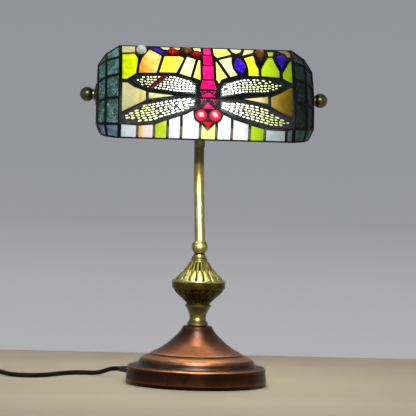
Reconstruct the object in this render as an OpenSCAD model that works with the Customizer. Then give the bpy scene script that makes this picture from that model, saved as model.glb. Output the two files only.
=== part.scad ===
// Stained-glass table lamp: half-barrel glass shade held between two ball knobs on a yoke,
// bent brass stem, urn neck, copper base, and a cord with a line switch and a plug.
// Millimetres. +Z up, the front faces -Y, the origin is the centre of the base's underside.

/* [Shade] */
// height of the shade's lower edge above the table
shade_z = 290; // [280:1:300]
// height of the tilt axis above the shade's lower edge
axis_up = 51; // [49:0.5:53]
// thickness of the lead lattice
came_t = 4.4; // [4:0.1:5]
// half the width of a lead line between panes
came_half = 1.6; // [1.3:0.1:1.8]
// how far the glass lies below the lattice's outer face
glass_in = 0.9; // [0.5:0.1:1.2]
// thickness of a pane
glass_t = 3; // [2.4:0.1:3.2]
// thickness of the pierced brass plates on the wings
filigree_t = 0.7; // [0.5:0.1:0.8]
// height of a glass jewel above the lattice
jewel_dome = 4.8; // [3:0.1:5]

/* [Base and neck] */
// outside radius of the base
base_r = 83.5; // [82:0.5:85]
// radius of the threaded rod that clamps the neck together
rod_r = 4.8; // [4.5:0.1:5]
// lobes round the urn
urn_lobes = 18; // [14:1:20]

/* [Stem and yoke] */
// outside radius of the bent stem tube
stem_r = 6.2; // [6:0.1:6.4]
// bore radius of the stem tube
stem_bore = 4.9; // [4:0.1:5.2]
// width of the yoke's flat strip
yoke_w = 14; // [12:1:16]
// thickness of the yoke's flat strip
yoke_t = 3; // [2.5:0.5:3.5]

/* [Knobs] */
// radius of a ball knob
ball_r = 8.65; // [8:0.05:9]
// radius of a knob's stud
stud_r = 2.4; // [2.2:0.1:2.5]

/* [Bulb and socket] */
// radius of the bulb's globe
globe_r = 30; // [28:1:31]
// where the globe's centre lies along the shade
globe_x = -2; // [-6:1:4]

/* [Cord] */
// cord diameter
cord_d = 5.5; // [5:0.1:6]

/* [Hidden] */
$fn = 64;
axis_z = shade_z + axis_up;
end_x = 127;
knob_x = end_x + 3.8;
main_x = 102;
// how far an end's lowest row slants inwards
tuck = 5.4;
// half section of the shade: depth from the middle and height above its lower edge, bottom to top
sec0 = [[69, 0], [75, 16.5], [70.6, 47.6], [56.7, 74.9], [35.1, 95.8], [8, 109.6]];
sec1 = [[58.6, 1.3], [64.6, 16.3], [60.2, 45.6], [46.3, 71.1], [24.7, 91.4], [5, 99.2]];
sec2 = [[45.3, 3.3], [51.3, 16], [46.9, 41.7], [33, 65.4], [12, 84.2], [3, 85.9]];
// the stem: straight and leaning back, then an arc that brings it forward to the middle
stem_lean = 13.57;
stem_z = 171;
stem_len = 59.7;
stem_side = 1.8;
// where the stem's nipple passes the yoke
nipple_x = -(shade_z + 12 - stem_z) * tan(stem_side);
arc_r = 70;
arc_y = -54.05;
arc_z = 245.45;
arc_to = 39.4;
// the cord's route on the table, from the boot to the switch
route_a = [
  [-89.2, 57.3, 11], [-94.2, 60.5, 11], [-101, 65.5, 9.6], [-108, 72, 6.6], [-114, 78.5, 4.2], [-121, 84, 3],
  [-130.5, 87, 2.8], [-141, 86, 2.8], [-151.5, 79, 2.8], [-161, 68.5, 2.8], [-170, 56.5, 2.8], [-179, 45, 2.8],
  [-188, 38, 2.8], [-199, 35, 2.8], [-210, 37, 2.8], [-219, 44, 2.8], [-225, 54, 2.8], [-229, 64, 2.8],
  [-234, 75, 2.8], [-241, 84, 3.2], [-251, 89.5, 4.4], [-261.5, 89.5, 6], [-270, 85.5, 7.4], [-276.6, 77.5, 8],
  [-278.7, 70.6, 8], [-279, 66, 8]];
// from the switch to the coil
route_b = [[-279, 6, 8], [-279, 1, 8], [-279, -6, 6.6], [-279, -13, 4.2], [-278.7, -22, 2.9]];
// from the coil to the plug
route_c = [[-362.4, -22, 8.3], [-362.6, -14, 8.1], [-362.6, -4, 8], [-362.6, 6, 8], [-362.6, 14, 8]];
sw_x = -279;
sw_y = 6;
coil_at = [-320.6, -22];
coil_mid = 33;
coil_w = 24;
plug_x = -362.6;

// ---------- shade geometry ----------

// a section as one open line, front bottom over the top to back bottom
function whole(s) = concat([for (p = s) [-p[0], p[1]]], [for (i = [len(s) - 1:-1:0]) s[i]]);
function unit(v) = v / norm(v);
// unit vector to the right of the way from a to b
function right(a, b) = let (t = unit(b - a)) [t[1], -t[0]];
// the open line p moved d to its inside, its ends kept at their own height
function moved(p, d) = [for (i = [0:len(p) - 1])
  i == 0 || i == len(p) - 1
    ? let (a = i == 0 ? p[0] : p[i - 1], b = i == 0 ? p[1] : p[i], n = right(a, b), t = unit(b - a),
           q = p[i] + d * n) q + t * (p[i][1] - q[1]) / t[1]
    : let (m = right(p[i - 1], p[i]), n = right(p[i], p[i + 1])) p[i] + d * (m + n) / (1 + m * n)];
// the closed outline p (clockwise) made smaller by d all round
function smaller(p, d) = let (k = len(p)) [for (i = [0:k - 1])
  let (a = p[(i + k - 1) % k], b = p[i], c = p[(i + 1) % k], m = right(a, b), n = right(b, c))
    b + d * (m + n) / (1 + m * n)];
// outline of an oval, a marquise or a teardrop w wide and h high
function oval(w, h) = [for (a = [0:22.5:337.5]) [w / 2 * sin(a), h / 2 * cos(a)]];
function marquise(w, h) = [for (t = [-1:0.25:1]) [w / 2 * (1 - t * t), h / 2 * t]];
function leaf(w, h) = concat([for (t = [1:-0.25:-1]) [w / 2 * (1 - t * t), h / 2 * t]],
                             [for (t = [-0.75:0.25:0.75]) [-w / 2 * (1 - t * t), h / 2 * t]]);
function drop(w, h) = concat([for (a = [-100:20:100]) [w / 2 * sin(a), h / 2 - w / 2 + w / 2 * cos(a)]],
                             [[w * 0.2, -h * 0.28], [0, -h / 2], [-w * 0.2, -h * 0.28]]);
// depth and slope of the front's surface at height z
function facet(z) = z < 16.5 ? 0 : z < 47.6 ? 1 : z < 74.9 ? 2 : z < 95.8 ? 3 : 4;
function depth(z) = let (i = facet(z), a = sec0[i], b = sec0[i + 1])
  a[0] + (b[0] - a[0]) * (z - a[1]) / (b[1] - a[1]);
function slope(z) = let (i = facet(z), a = sec0[i], b = sec0[i + 1]) atan2(a[0] - b[0], b[1] - a[1]);

// a slab of the main section between two depths below its outer face, front half only
module skin(d1, d2) {
  o = moved(whole(sec0), d1);
  n = moved(whole(sec0), d2);
  k = len(sec0);
  half_o = [for (i = [0:k - 1]) o[i]];
  half_n = [for (i = [k - 1:-1:0]) n[i]];
  multmatrix([[0, 0, 1, -main_x], [1, 0, 0, 0], [0, 1, 0, shade_z], [0, 0, 0, 1]])
    linear_extrude(height = 2 * main_x)
      polygon(concat(half_o, [[0, o[k - 1][1]], [0, n[k - 1][1]]], half_n));
}
// an outline drawn in front view, cut through the front half as far as the top strip
module through(p) {
  translate([0, -6, shade_z]) rotate([90, 0, 0]) linear_extrude(height = 84) polygon(p);
}
// the top strip's outlines, drawn in plan
module from_top(p) {
  translate([0, 0, shade_z + 100]) linear_extrude(height = 20) polygon(p);
}
// children set on the front's surface at x and z: their +Z points out of the glass, +Y up the slope
module seat(x, z) {
  translate([x, -depth(z), shade_z + z]) rotate([90 - slope(z), 0, 0]) children();
}
module both() { children(); rotate([0, 0, 180]) children(); }

// panes of the front, in front view: x from the middle, z above the lower edge
lime = [
  [[-98.8, 98.2], [-84.6, 99.3], [-80.8, 93.8], [-83.2, 76.2], [-93.5, 69.2], [-99, 69.2]],
  [[72.6, 106.4], [80, 106.6], [78, 101.4], [73.2, 101.2]],
  [[63.4, 77], [63.4, 84.5], [69, 94.5], [72.8, 99.2], [77.6, 99.2], [79, 94], [81.2, 89], [84.4, 83.5], [84.4, 75.8]],
  [[99.2, 96.4], [95.8, 92.5], [92.4, 87], [88.4, 81], [88.4, 74.6], [99.2, 69.4]],
  [[-59.4, 1.8], [-59.4, 17.2], [-47, 21.8], [-47, 1.8]],
  [[51.5, 1.8], [51.5, 18.6], [66, 14.9], [66, 1.8]]];
yellow = [
  [[-49.5, 97.2], [-31, 97.6], [-27, 95.6], [-36, 78.3], [-56, 78]],
  [[-10, 93.5], [-8, 93.5], [-8.2, 70.4], [-16.5, 73.2]],
  [[8.4, 108.4], [24.5, 108.4], [29, 102.2], [12.5, 97.4], [9, 100.6]],
  [[10.6, 93], [23, 74.2], [16.5, 71.6], [13.6, 66.8], [10.6, 71]],
  [[44, 97.6], [55, 101.2], [56.8, 91], [60, 84.6], [60, 77], [48.4, 77], [48.4, 84.5], [46.8, 91.5]],
  [[-39, 108.4], [-30.5, 108.4], [-31.5, 106.4], [-36, 106]]];
cream = [
  [[-23, 97.4], [-13.4, 94.2], [-19.8, 73.2], [-32.2, 77.2]],
  [[14.2, 94.4], [29.2, 98.6], [28.8, 91], [30.4, 84], [35.4, 77.4], [27, 74.9]],
  [[-54, 108.4], [-42.5, 108.4], [-44.5, 106], [-50, 105.9]],
  [[-15.5, 108.4], [-6.4, 108.4], [-6.4, 104.6], [-13.5, 105.3]],
  [[28.4, 108.4], [42, 108.4], [40.5, 105.2], [35.3, 103.2], [30.9, 105]],
  [[45.4, 108.4], [57, 108.4], [54.6, 104.8], [42.4, 101.2], [44, 104.6]]];
streaky = [
  [[-66.7, 105.2], [-60, 101.6], [-53, 97.6], [-59.3, 77.3], [-79.6, 76.8], [-78.8, 86], [-75.6, 94.5]]];
amber = [
  [[-98.8, 64.6], [-93, 64.6], [-85, 59.6], [-71.5, 55], [-71.5, 45.2], [-98.8, 31.2]],
  [[-68, 53.8], [-39, 51], [-68, 46.8]],
  [[43, 49.4], [70.5, 52.8], [70.5, 44.6]],
  [[73.8, 52], [85, 56.8], [95.5, 63.2], [99, 64.2], [99.2, 31], [89, 33.9], [74.5, 41.5]],
  [[-99, 108.4], [-83.6, 108.4], [-84, 101.4], [-99, 100.4]],
  [[84.5, 108.4], [96, 108.4], [99.2, 106], [99.2, 100.6], [95.6, 100.6], [93.4, 104.6]]];
skirt = [
  [[-99, 1.8], [-99, 16], [-82, 15.1], [-82, 1.8]],
  [[-78.7, 1.8], [-78.7, 15], [-62.6, 16.6], [-62.6, 1.8]],
  [[-43.8, 1.8], [-43.8, 23], [-31.3, 27.2], [-31.3, 1.8]],
  [[-28, 1.8], [-28, 28.3], [-24, 29.7], [-16.4, 34.2], [-15.9, 29], [-14.6, 23.4], [-9.2, 19.6], [-9.2, 1.8]],
  [[-6, 1.8], [-6, 18.2], [-1.3, 12.9], [1, 10.8], [3.3, 12.9], [9.6, 19.6], [9.6, 1.8]],
  [[13, 1.8], [13, 20.8], [15.6, 22.6], [18, 26.5], [19, 30], [27.6, 26.2], [27.6, 1.8]],
  [[30.8, 1.8], [30.8, 25], [33, 24.2], [48.2, 19.6], [48.2, 1.8]],
  [[69.4, 1.8], [69.4, 14.2], [73, 13.6], [91, 13.4], [91, 1.8]],
  [[94.2, 1.8], [94.2, 13.6], [99.2, 15], [99.2, 1.8]]];
body = [
  [[-3.2, 101.2], [-3.2, 108.4], [5.2, 108.4], [5.2, 101.2]],
  [[-4.2, 88.9], [-4.2, 99.3], [6.2, 99.3], [6.2, 88.9]],
  [[-5.2, 71.6], [-5.2, 86.9], [7.2, 86.9], [7.2, 71.6]],
  [[-8.4, 60], [-5.6, 69.6], [7.6, 69.6], [10.4, 60]],
  [[-8.6, 58], [10.6, 58], [11.6, 51], [11, 43], [9.8, 38.5], [1, 48], [-7.8, 38.5], [-9, 43], [-9.6, 51]],
  [[-5.5, 37.2], [1, 44.4], [7.5, 37.2]],
  [[-4.5, 21.5], [6.5, 21.5], [1, 14.8]]];
wings = [
  [[-88.5, 68], [-81, 73], [-70, 74.2], [-56, 74.6], [-36, 74.6], [-20, 70], [-13.5, 65], [-13, 53.5],
   [-34, 54], [-51, 55.9], [-68.5, 57.3], [-84, 63.4]],
  [[-99.3, 27.5], [-78.6, 39.5], [-60, 43.6], [-44, 46.9], [-30, 49.2], [-20, 50], [-13.3, 47.5], [-15, 38.5],
   [-24.3, 33], [-49, 24.8], [-61, 20.2], [-80, 18.2], [-95, 19.3], [-99.3, 21.5]],
  [[15.3, 61], [19.5, 67], [39, 73.4], [54, 74.2], [68, 73.4], [88, 70], [91.5, 66.8], [84.5, 61], [68, 56.3],
   [42.5, 55], [15.3, 50.5]],
  [[15.3, 46], [34, 46.6], [57, 43.2], [73, 38], [96, 27.4], [99.4, 22], [92.5, 17], [73, 17], [49, 22.9],
   [33, 27.8], [15.5, 35.4]]];
navy = [
  [[-66, 107.6], [-58.5, 108.4], [-53.4, 105.6], [-48.4, 101.4], [-54, 101], [-60, 103.6]]];
// rectangles of the flat strip along the top
top_lime = [[-99, -80], [-41, -23], [36, 54], [77, 99]];
top_yellow = [[-77, -60], [-20, -3], [16, 33], [57, 74]];
top_cream = [[-57, -44], [0, 13]];
// jewels: colour, x, z, width, height up the slope, turn, and shape (0 oval, 1 leaf, 2 teardrop)
jewels = [
  ["clear", -76.4, 103.6, 12, 18.4, 0, 0], ["red", -39.8, 102, 11.6, 14.2, 90, 1],
  ["amber", -22.8, 104.2, 11.4, 11.4, 0, 0], ["red", -11.5, 100, 8.6, 11.8, 90, 1],
  ["blue", 38.2, 87.3, 12.4, 26.4, 12, 1], ["amber", 63.4, 101.2, 11.4, 26, 0, 2],
  ["blue", 87.4, 93, 11.4, 22, 0, 2],
  ["red", -7.2, 29.2, 12.6, 12.6, 0, 0], ["red", 9.2, 29.2, 12.6, 12.6, 0, 0]];
function shape_of(j, d) = j[6] == 0 ? oval(j[3] + d, j[4] + d)
  : j[6] == 1 ? leaf(j[3] + d, j[4] + 1.6 * d) : drop(j[3] + d, j[4] + 1.4 * d);
// how deep a jewel sits in the lead; a teardrop lies across a fold, so it goes deeper
function sink(j) = j[6] == 2 ? 3 : 1.2;

module jewel_hole(j) {
  seat(j[1], j[2]) rotate([0, 0, j[5]])
    translate([0, 0, -sink(j)]) linear_extrude(height = 12) polygon(shape_of(j, 0));
}
// a jewel: straight girdle in its pocket, then two rows of facets up to a small table
module jewel(j) {
  a = shape_of(j, 0);
  b = [for (p = a) p * 0.8];
  c = [for (p = a) p * 0.4];
  k = len(a);
  pts = concat([for (p = a) [p[0], p[1], -sink(j)]], [for (p = a) [p[0], p[1], 0.6]],
               [for (p = b) [p[0], p[1], 0.6 + jewel_dome * 0.62]], [for (p = c) [p[0], p[1], 0.6 + jewel_dome]]);
  seat(j[1], j[2]) rotate([0, 0, j[5]])
    polyhedron(points = pts, faces = concat([[for (i = [k - 1:-1:0]) i]], [[for (i = [0:k - 1]) 3 * k + i]],
      [for (r = [0:2], i = [0:k - 1]) [r * k + i, r * k + (i + 1) % k, (r + 1) * k + (i + 1) % k]],
      [for (r = [0:2], i = [0:k - 1]) [r * k + i, (r + 1) * k + (i + 1) % k, (r + 1) * k + i]]));
}
module jewels_of(colour) { both() for (j = jewels) if (j[0] == colour) jewel(j); }

module panes(list) { both() intersection() { skin(glass_in, glass_in + glass_t); union() for (p = list) through(p); } }
module top_panes(list) {
  both() intersection() {
    skin(glass_in, glass_in + glass_t);
    union() for (r = list) from_top([[r[0], -5.4], [r[1], -5.4], [r[1], -0.8], [r[0], -0.8]]);
  }
}
module came_half_shade() {
  difference() {
    skin(0, came_t);
    for (l = [lime, yellow, cream, streaky, amber, skirt, body, wings, navy]) for (p = l) through(p);
    for (l = [top_lime, top_yellow, top_cream]) for (r = l)
      from_top([[r[0], -5.4], [r[1], -5.4], [r[1], -0.8], [r[0], -0.8]]);
    for (j = jewels) jewel_hole(j);
  }
}

// ---------- the two ends ----------

// the end's three stations moved d to the inside, as points of the +X end
function station(k, d) = let (
    s = k == 0 ? sec0 : k == 1 ? sec1 : sec2,
    x = k == 0 ? main_x : k == 1 ? 118 - 0.3 * d : end_x - d,
    q = moved(whole(s), k == 0 ? d : k == 1 ? 1.4 * d : 0.3 * d))
  [for (i = [0:11]) [x - (i == 0 || i == 11 ? tuck * k / 2 : 0), q[i][0], q[i][1] + shade_z]];
module end_skin(d1, d2) {
  pts = concat(station(0, d1), station(1, d1), station(2, d1), station(0, d2), station(1, d2), station(2, d2));
  polyhedron(points = pts, faces = concat(
    [for (k = [0:1], i = [0:10]) [12 * k + i, 12 * k + i + 1, 12 * k + i + 13]],
    [for (k = [0:1], i = [0:10]) [12 * k + i, 12 * k + i + 13, 12 * k + i + 12]],
    [for (k = [0:1], i = [0:10]) [36 + 12 * k + i, 36 + 12 * k + i + 13, 36 + 12 * k + i + 1]],
    [for (k = [0:1], i = [0:10]) [36 + 12 * k + i, 36 + 12 * k + i + 12, 36 + 12 * k + i + 13]],
    [for (i = [0:10]) [i, 36 + i, 36 + i + 1, i + 1]],
    [for (k = [0:1]) [12 * k, 12 * k + 12, 36 + 12 * k + 12]],
    [for (k = [0:1]) [12 * k, 36 + 12 * k + 12, 36 + 12 * k]],
    [for (k = [0:1]) [36 + 12 * k + 11, 36 + 12 * k + 23, 12 * k + 23]],
    [for (k = [0:1]) [36 + 12 * k + 11, 12 * k + 23, 12 * k + 11]],
    [[for (i = [25:34]) i]], [[24, 25, 34, 35]],
    [[for (i = [70:-1:61]) i]], [[60, 71, 70, 61]], [[60, 24, 35, 71]]));
}
// window through one slanting square of an end: column k, row i
module end_window(k, i) {
  a = station(k, 0)[i];
  b = station(k, 0)[i + 1];
  c = station(k + 1, 0)[i + 1];
  d = station(k + 1, 0)[i];
  m = (a + b + c + d) / 4;
  n = unit(cross(d - b, c - a));
  ex = unit((c + d - a - b) - ((c + d - a - b) * n) * n);
  ey = cross(n, ex);
  flat = [for (p = [a, b, c, d]) [(p - m) * ex, (p - m) * ey]];
  multmatrix([[ex[0], ey[0], n[0], m[0]], [ex[1], ey[1], n[1], m[1]], [ex[2], ey[2], n[2], m[2]], [0, 0, 0, 1]])
    translate([0, 0, -9]) linear_extrude(height = 14) polygon(smaller(flat, came_half + 0.1));
}
// windows of the flat end face, drawn in its plane
module face_windows() {
  rim = [for (p = smaller(whole(sec2), 3.4)) p];
  for (side = [-1, 1]) difference() {
    intersection() {
      polygon(rim);
      union() {
        for (r = [[5, 14.4], [17.6, 40.1]], c = [[1.6, 15.4], [18.6, 32.4], [35.6, 50]])
          cell(side, c, r);
        cell(side, [17, 50], [43.3, 63.8]);
        for (c = [[1.6, 15.4], [18.6, 50]]) cell(side, c, [67, 90]);
      }
    }
    translate([0, axis_up]) circle(r = 14.4);
  }
}
module cell(side, c, r) {
  translate([side > 0 ? c[0] : -c[1], r[0]]) square([c[1] - c[0], r[1] - r[0]]);
}
module end_windows() {
  for (k = [0:1], i = [0:4]) { end_window(k, i); mirror([0, 1, 0]) end_window(k, i); }
  multmatrix([[0, 0, 1, end_x - 12], [1, 0, 0, 0], [0, 1, 0, shade_z], [0, 0, 0, 1]])
    linear_extrude(height = 15) face_windows();
}
module end_came() {
  difference() {
    end_skin(0, came_t);
    end_windows();
    along_x(end_x - 10) cylinder(r = 2.8, h = 20);
  }
}
module end_glass() { intersection() { end_skin(glass_in, glass_in + glass_t); end_windows(); } }
// children with their +Z along +X, starting at x on the tilt axis
module along_x(x) { translate([x, 0, axis_z]) rotate([0, 90, 0]) children(); }

// ---------- turned and swept parts ----------

module turned(p) { rotate_extrude() polygon(p); }
// a tube of radius r swept through the points p
module sweep(p, r, sides = 10) {
  k = len(p);
  dir = [for (i = [0:k - 1]) unit(i == 0 ? p[1] - p[0] : i == k - 1 ? p[i] - p[i - 1] : p[i + 1] - p[i - 1])];
  side = [for (t = dir) unit(cross(t, [0, 0, 1]))];
  up = [for (i = [0:k - 1]) cross(side[i], dir[i])];
  ring = [for (i = [0:k - 1], j = [0:sides - 1]) let (a = 360 * j / sides) p[i] + r * (cos(a) * side[i] + sin(a) * up[i])];
  polyhedron(points = ring, faces = concat(
    [[for (j = [0:sides - 1]) j]], [[for (j = [sides - 1:-1:0]) (k - 1) * sides + j]],
    [for (i = [0:k - 2], j = [0:sides - 1]) [i * sides + j, (i + 1) * sides + j, (i + 1) * sides + (j + 1) % sides]],
    [for (i = [0:k - 2], j = [0:sides - 1]) [i * sides + j, (i + 1) * sides + (j + 1) % sides, i * sides + (j + 1) % sides]]));
}

// ---------- base ----------

module felt_pad() { color("black") difference() { cylinder(r = base_r - 2.9, h = 1.5); translate([0, 0, -1]) cylinder(r = 14, h = 4); } }
module base_shell() {
  color("saddlebrown") difference() {
    turned([[base_r - 0.9, 1], [base_r, 2.4], [base_r, 6], [82.6, 14], [82.2, 17.6], [82.6, 18.8], [82.2, 20.4],
      [80.8, 21.6], [78, 22.2], [71, 22.6], [69.4, 24.6], [68.4, 28], [66, 31], [61, 33.8], [55, 35.7],
      [50, 35.7], [50, 33.2], [60, 31.4], [64.4, 28.8], [66.2, 26], [67, 22.5], [68.5, 20.2], [71, 19.4],
      [79.2, 19.4], [79.8, 14], [base_r - 2.9, 6], [base_r - 2.9, 1]]);
    rotate([0, 0, 147.3]) translate([70, 0, 11]) rotate([0, 90, 0]) cylinder(r = 4.6, h = 20);
  }
}
module base_cone() {
  color("peru") turned([[54.2, 35.7], [54.2, 36.9], [53, 37.7], [42.9, 43.1], [36, 48], [30, 53.3], [25.6, 57.4],
    [22.4, 60.7], [19.6, 64.4], [18, 67.2], [17.2, 69], [16.6, 69.6], [5.2, 69.6], [5.2, 66.8], [15, 66.8],
    [16.4, 64.8], [20.2, 59.2], [27.8, 51.4], [40.8, 41.2], [50.2, 36.4], [50.2, 35.7]]);
}
module base_weight() { color("dimgray") turned([[5.4, 9], [77, 9], [77, 17], [5.4, 17]]); }
module threaded_rod() { color("silver") translate([0, 0, 2]) cylinder(r = rod_r, h = 156); }
module base_nut() {
  color("gray") difference() {
    union() { translate([0, 0, 2.4]) cylinder(r = 9, h = 5, $fn = 6); translate([0, 0, 7.4]) cylinder(r = 12, h = 1.6); }
    cylinder(r = rod_r, h = 20);
  }
}
module strain_relief() {
  color("dimgray") rotate([0, 0, 147.3]) translate([0, 0, 11]) rotate([0, 90, 0]) rotate_extrude()
    polygon([[0, 78.4], [4.6, 78.4], [4.6, 83.7], [6.4, 83.7], [6.4, 86], [4.8, 87], [3.4, 106], [0, 106]]);
}

// ---------- urn neck ----------

module lower_collar() {
  color("darkgoldenrod") turned([[5.2, 69.6], [11.4, 69.6], [12.5, 70.8], [12.5, 73], [11.4, 74.4], [10, 76.4],
    [9.65, 79.3], [10.2, 83], [11.7, 86.8], [14, 91], [15.4, 92.9], [15.6, 94], [14.8, 95], [13.4, 95.4], [5.2, 95.4]]);
}
// a lobe along the slope from (r1, z1) to (r2, z2), w1 and w2 its radii, sunk into the body
module lobe(r1, z1, w1, r2, z2, w2) {
  l = norm([r2 - r1, z2 - z1]);
  translate([r1, 0, z1]) rotate([0, atan2(r2 - r1, z2 - z1), 0]) cylinder(r1 = w1, r2 = w2, h = l);
}
module urn_bowl() {
  color("olive") union() {
    turned([[5.2, 95.4], [13.2, 95.4], [13.8, 97], [16.6, 99.8], [20, 104], [23.4, 107.6], [25.8, 110.6], [28.2, 112.6],
      [30.8, 113.4], [31.6, 114.4], [31.6, 121.4], [32.1, 122.2], [32.1, 123.4], [31, 124.3], [26.6, 124.3],
      [26.6, 116], [23, 111], [18, 105.4], [13, 100.6], [5.2, 98.2]]);
    for (i = [0:urn_lobes - 1]) rotate([0, 0, 360 * (i + 0.5) / urn_lobes]) lobe(16, 101.6, 1.9, 22.6, 109, 3.3);
  }
}
module urn_cap() {
  color("goldenrod") union() {
    turned([[5.2, 145.2], [5.2, 147.2], [9.4, 147.2], [10.4, 145.8], [11.4, 144.2], [14, 139.6], [17.2, 135.6],
      [23.6, 129.6], [27.4, 124.3], [25, 124.3], [21.6, 128.4], [15.4, 134.4], [12.2, 138.4], [9.6, 142.6], [8, 145.2]]);
    for (i = [0:urn_lobes - 1]) {
      rotate([0, 0, 360 * i / urn_lobes]) lobe(24.2, 126.6, 3.7, 18, 133.2, 2.5);
      rotate([0, 0, 360 * (i + 0.5) / urn_lobes]) lobe(15.4, 136.4, 2.1, 11.2, 142.8, 1.2);
    }
  }
}
module neck_rings() {
  color("darkgoldenrod") turned([[5.2, 147.2], [9.2, 147.2], [10, 148], [10, 149.4], [8.6, 150.2], [9, 151], [9, 152],
    [7.6, 152.8], [7, 155], [5.2, 155]]);
}
// children tilted about the stem's foot, as the whole stem leans a little to the left
module leaning() { translate([0, 0, stem_z]) rotate([0, -stem_side, 0]) translate([0, 0, -stem_z]) children(); }
// the stem's straight length, and the arc above it
module stem_straight(r, sunk) {
  translate([0, 0, stem_z]) rotate([-stem_lean, 0, 0]) translate([0, 0, -sunk]) cylinder(r = r, h = stem_len + sunk);
}
module stem_bend(r) {
  translate([0, arc_y, arc_z]) multmatrix([[0, 0, 1, 0], [1, 0, 0, 0], [0, 1, 0, 0], [0, 0, 0, 1]])
    rotate([0, 0, -stem_lean]) rotate_extrude(angle = stem_lean + arc_to) translate([arc_r, 0]) circle(r = r);
}
module neck_ball() {
  color("goldenrod") difference() {
    intersection() { translate([0, 0, 163.4]) sphere(r = 9.6); translate([0, 0, 155]) cylinder(r = 20, h = 30); }
    translate([0, 0, 150]) cylinder(r = rod_r, h = 8);
    leaning() translate([0, 0, stem_z]) rotate([-stem_lean, 0, 0]) translate([0, 0, -3]) cylinder(r = stem_r, h = 20);
  }
}
// drawing the tube through the bend thins it a little
module stem_tube() {
  color("khaki") leaning() difference() {
    union() {
      stem_straight(stem_r, 3);
      stem_bend(stem_r - 0.05);
      translate([0, 0, 282]) cylinder(r = stem_r + 0.3, h = shade_z + 10 - 282);
      translate([0, 0, shade_z + 9]) cylinder(r = 4.9, h = 9);
    }
    stem_straight(stem_bore, 4);
    stem_bend(stem_bore - 0.3);
  }
}
module stem_nut() {
  color("gray") translate([nipple_x, 0, 0]) difference() {
    translate([0, 0, shade_z + 10 + yoke_t]) cylinder(r = 8, h = 4, $fn = 6);
    translate([0, 0, shade_z]) cylinder(r = 5.1, h = 30);
  }
}

// ---------- yoke, socket and bulb ----------

module yoke() {
  color("darkkhaki") difference() {
    union() {
      translate([-118, -yoke_w / 2, shade_z + 10]) cube([236, yoke_w, yoke_t]);
      for (s = [-1, 1]) {
        translate([s > 0 ? 118 - yoke_t : -118, -yoke_w / 2, shade_z + 10]) cube([yoke_t, yoke_w, axis_up - 10]);
        along_x(s > 0 ? 118 - yoke_t : -118) cylinder(r = yoke_w / 2, h = yoke_t);
      }
    }
    translate([nipple_x, 0, shade_z]) cylinder(r = 5.1, h = 30);
    along_x(-130) cylinder(r = stud_r + 0.1, h = 260);
  }
}
module yoke_spacers() {
  color("silver") for (s = [-1, 1]) difference() {
    along_x(s > 0 ? 118 : -122.3) cylinder(r = 8.5, h = 4.3);
    along_x(-130) cylinder(r = stud_r + 0.3, h = 260);
  }
}
module socket_bracket() {
  color("gray") difference() {
    union() {
      translate([86, -6, shade_z + 10 + yoke_t]) cube([14, 12, 2]);
      translate([98, -6, shade_z + 10 + yoke_t]) cube([2, 12, axis_up - 10 - yoke_t]);
      along_x(98) cylinder(r = 9, h = 2);
    }
    along_x(90) cylinder(r = 4.2, h = 20);
  }
}
module socket_shell() {
  color("goldenrod") along_x(0) rotate_extrude()
    polygon([[15.6, 46], [16.6, 46], [16.6, 78], [17.2, 79], [17.2, 82], [16.4, 84], [16, 92], [13, 97], [9, 98], [4.2, 98],
      [4.2, 96.8], [8.6, 96.8], [12.2, 96], [15, 91.4], [15.6, 84]]);
}
module socket_core() {
  color("saddlebrown") along_x(0) rotate_extrude()
    polygon([[14.2, 48], [15.4, 48], [15.4, 84], [14.6, 90], [12.4, 93], [2, 93], [2, 78], [14.2, 78]]);
}
module screw_shell() {
  color("gold") along_x(0) rotate_extrude() polygon([[13.3, 48.5], [14.2, 48.5], [14.2, 78], [9, 78], [9, 77.2], [13.3, 77.2]]);
}
module centre_contact() { color("silver") along_x(73.4) union() { translate([0, 0, 1]) cylinder(r = 3.4, h = 3.6); cylinder(r = 2.4, h = 1); } }
// outline of the globe and its neck, drawn for turning, d below the outer face
module bulb_outline(d) {
  intersection() {
    union() {
      translate([0, globe_x]) circle(r = globe_r - d);
      polygon([[0, globe_x + 16], [25.4 - d, globe_x + 16], [21.4 - d, globe_x + 24], [17.4 - d, globe_x + 33],
        [14.8 - d, globe_x + 42], [13.2 - d, 47 + d], [0, 47 + d]]);
    }
    translate([0, -60]) square([60, 120]);
  }
}
// the bulb lies along X, its cap towards +X; the glass is a thin shell, open where the cap closes it
module bulb_glass() {
  color("white") along_x(0) difference() {
    rotate_extrude() bulb_outline(0);
    rotate_extrude() bulb_outline(1.2);
  }
}
module bulb_cap() {
  color("silver") along_x(47) difference() { cylinder(r = 13, h = 22); translate([0, 0, 20.5]) cylinder(r = 8, h = 4); }
}
module bulb_tip() { color("black") along_x(67.5) union() { cylinder(r1 = 8, r2 = 5, h = 4); translate([0, 0, 4]) cylinder(r = 3.4, h = 1.8); } }

// ---------- knobs and washers ----------

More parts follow.
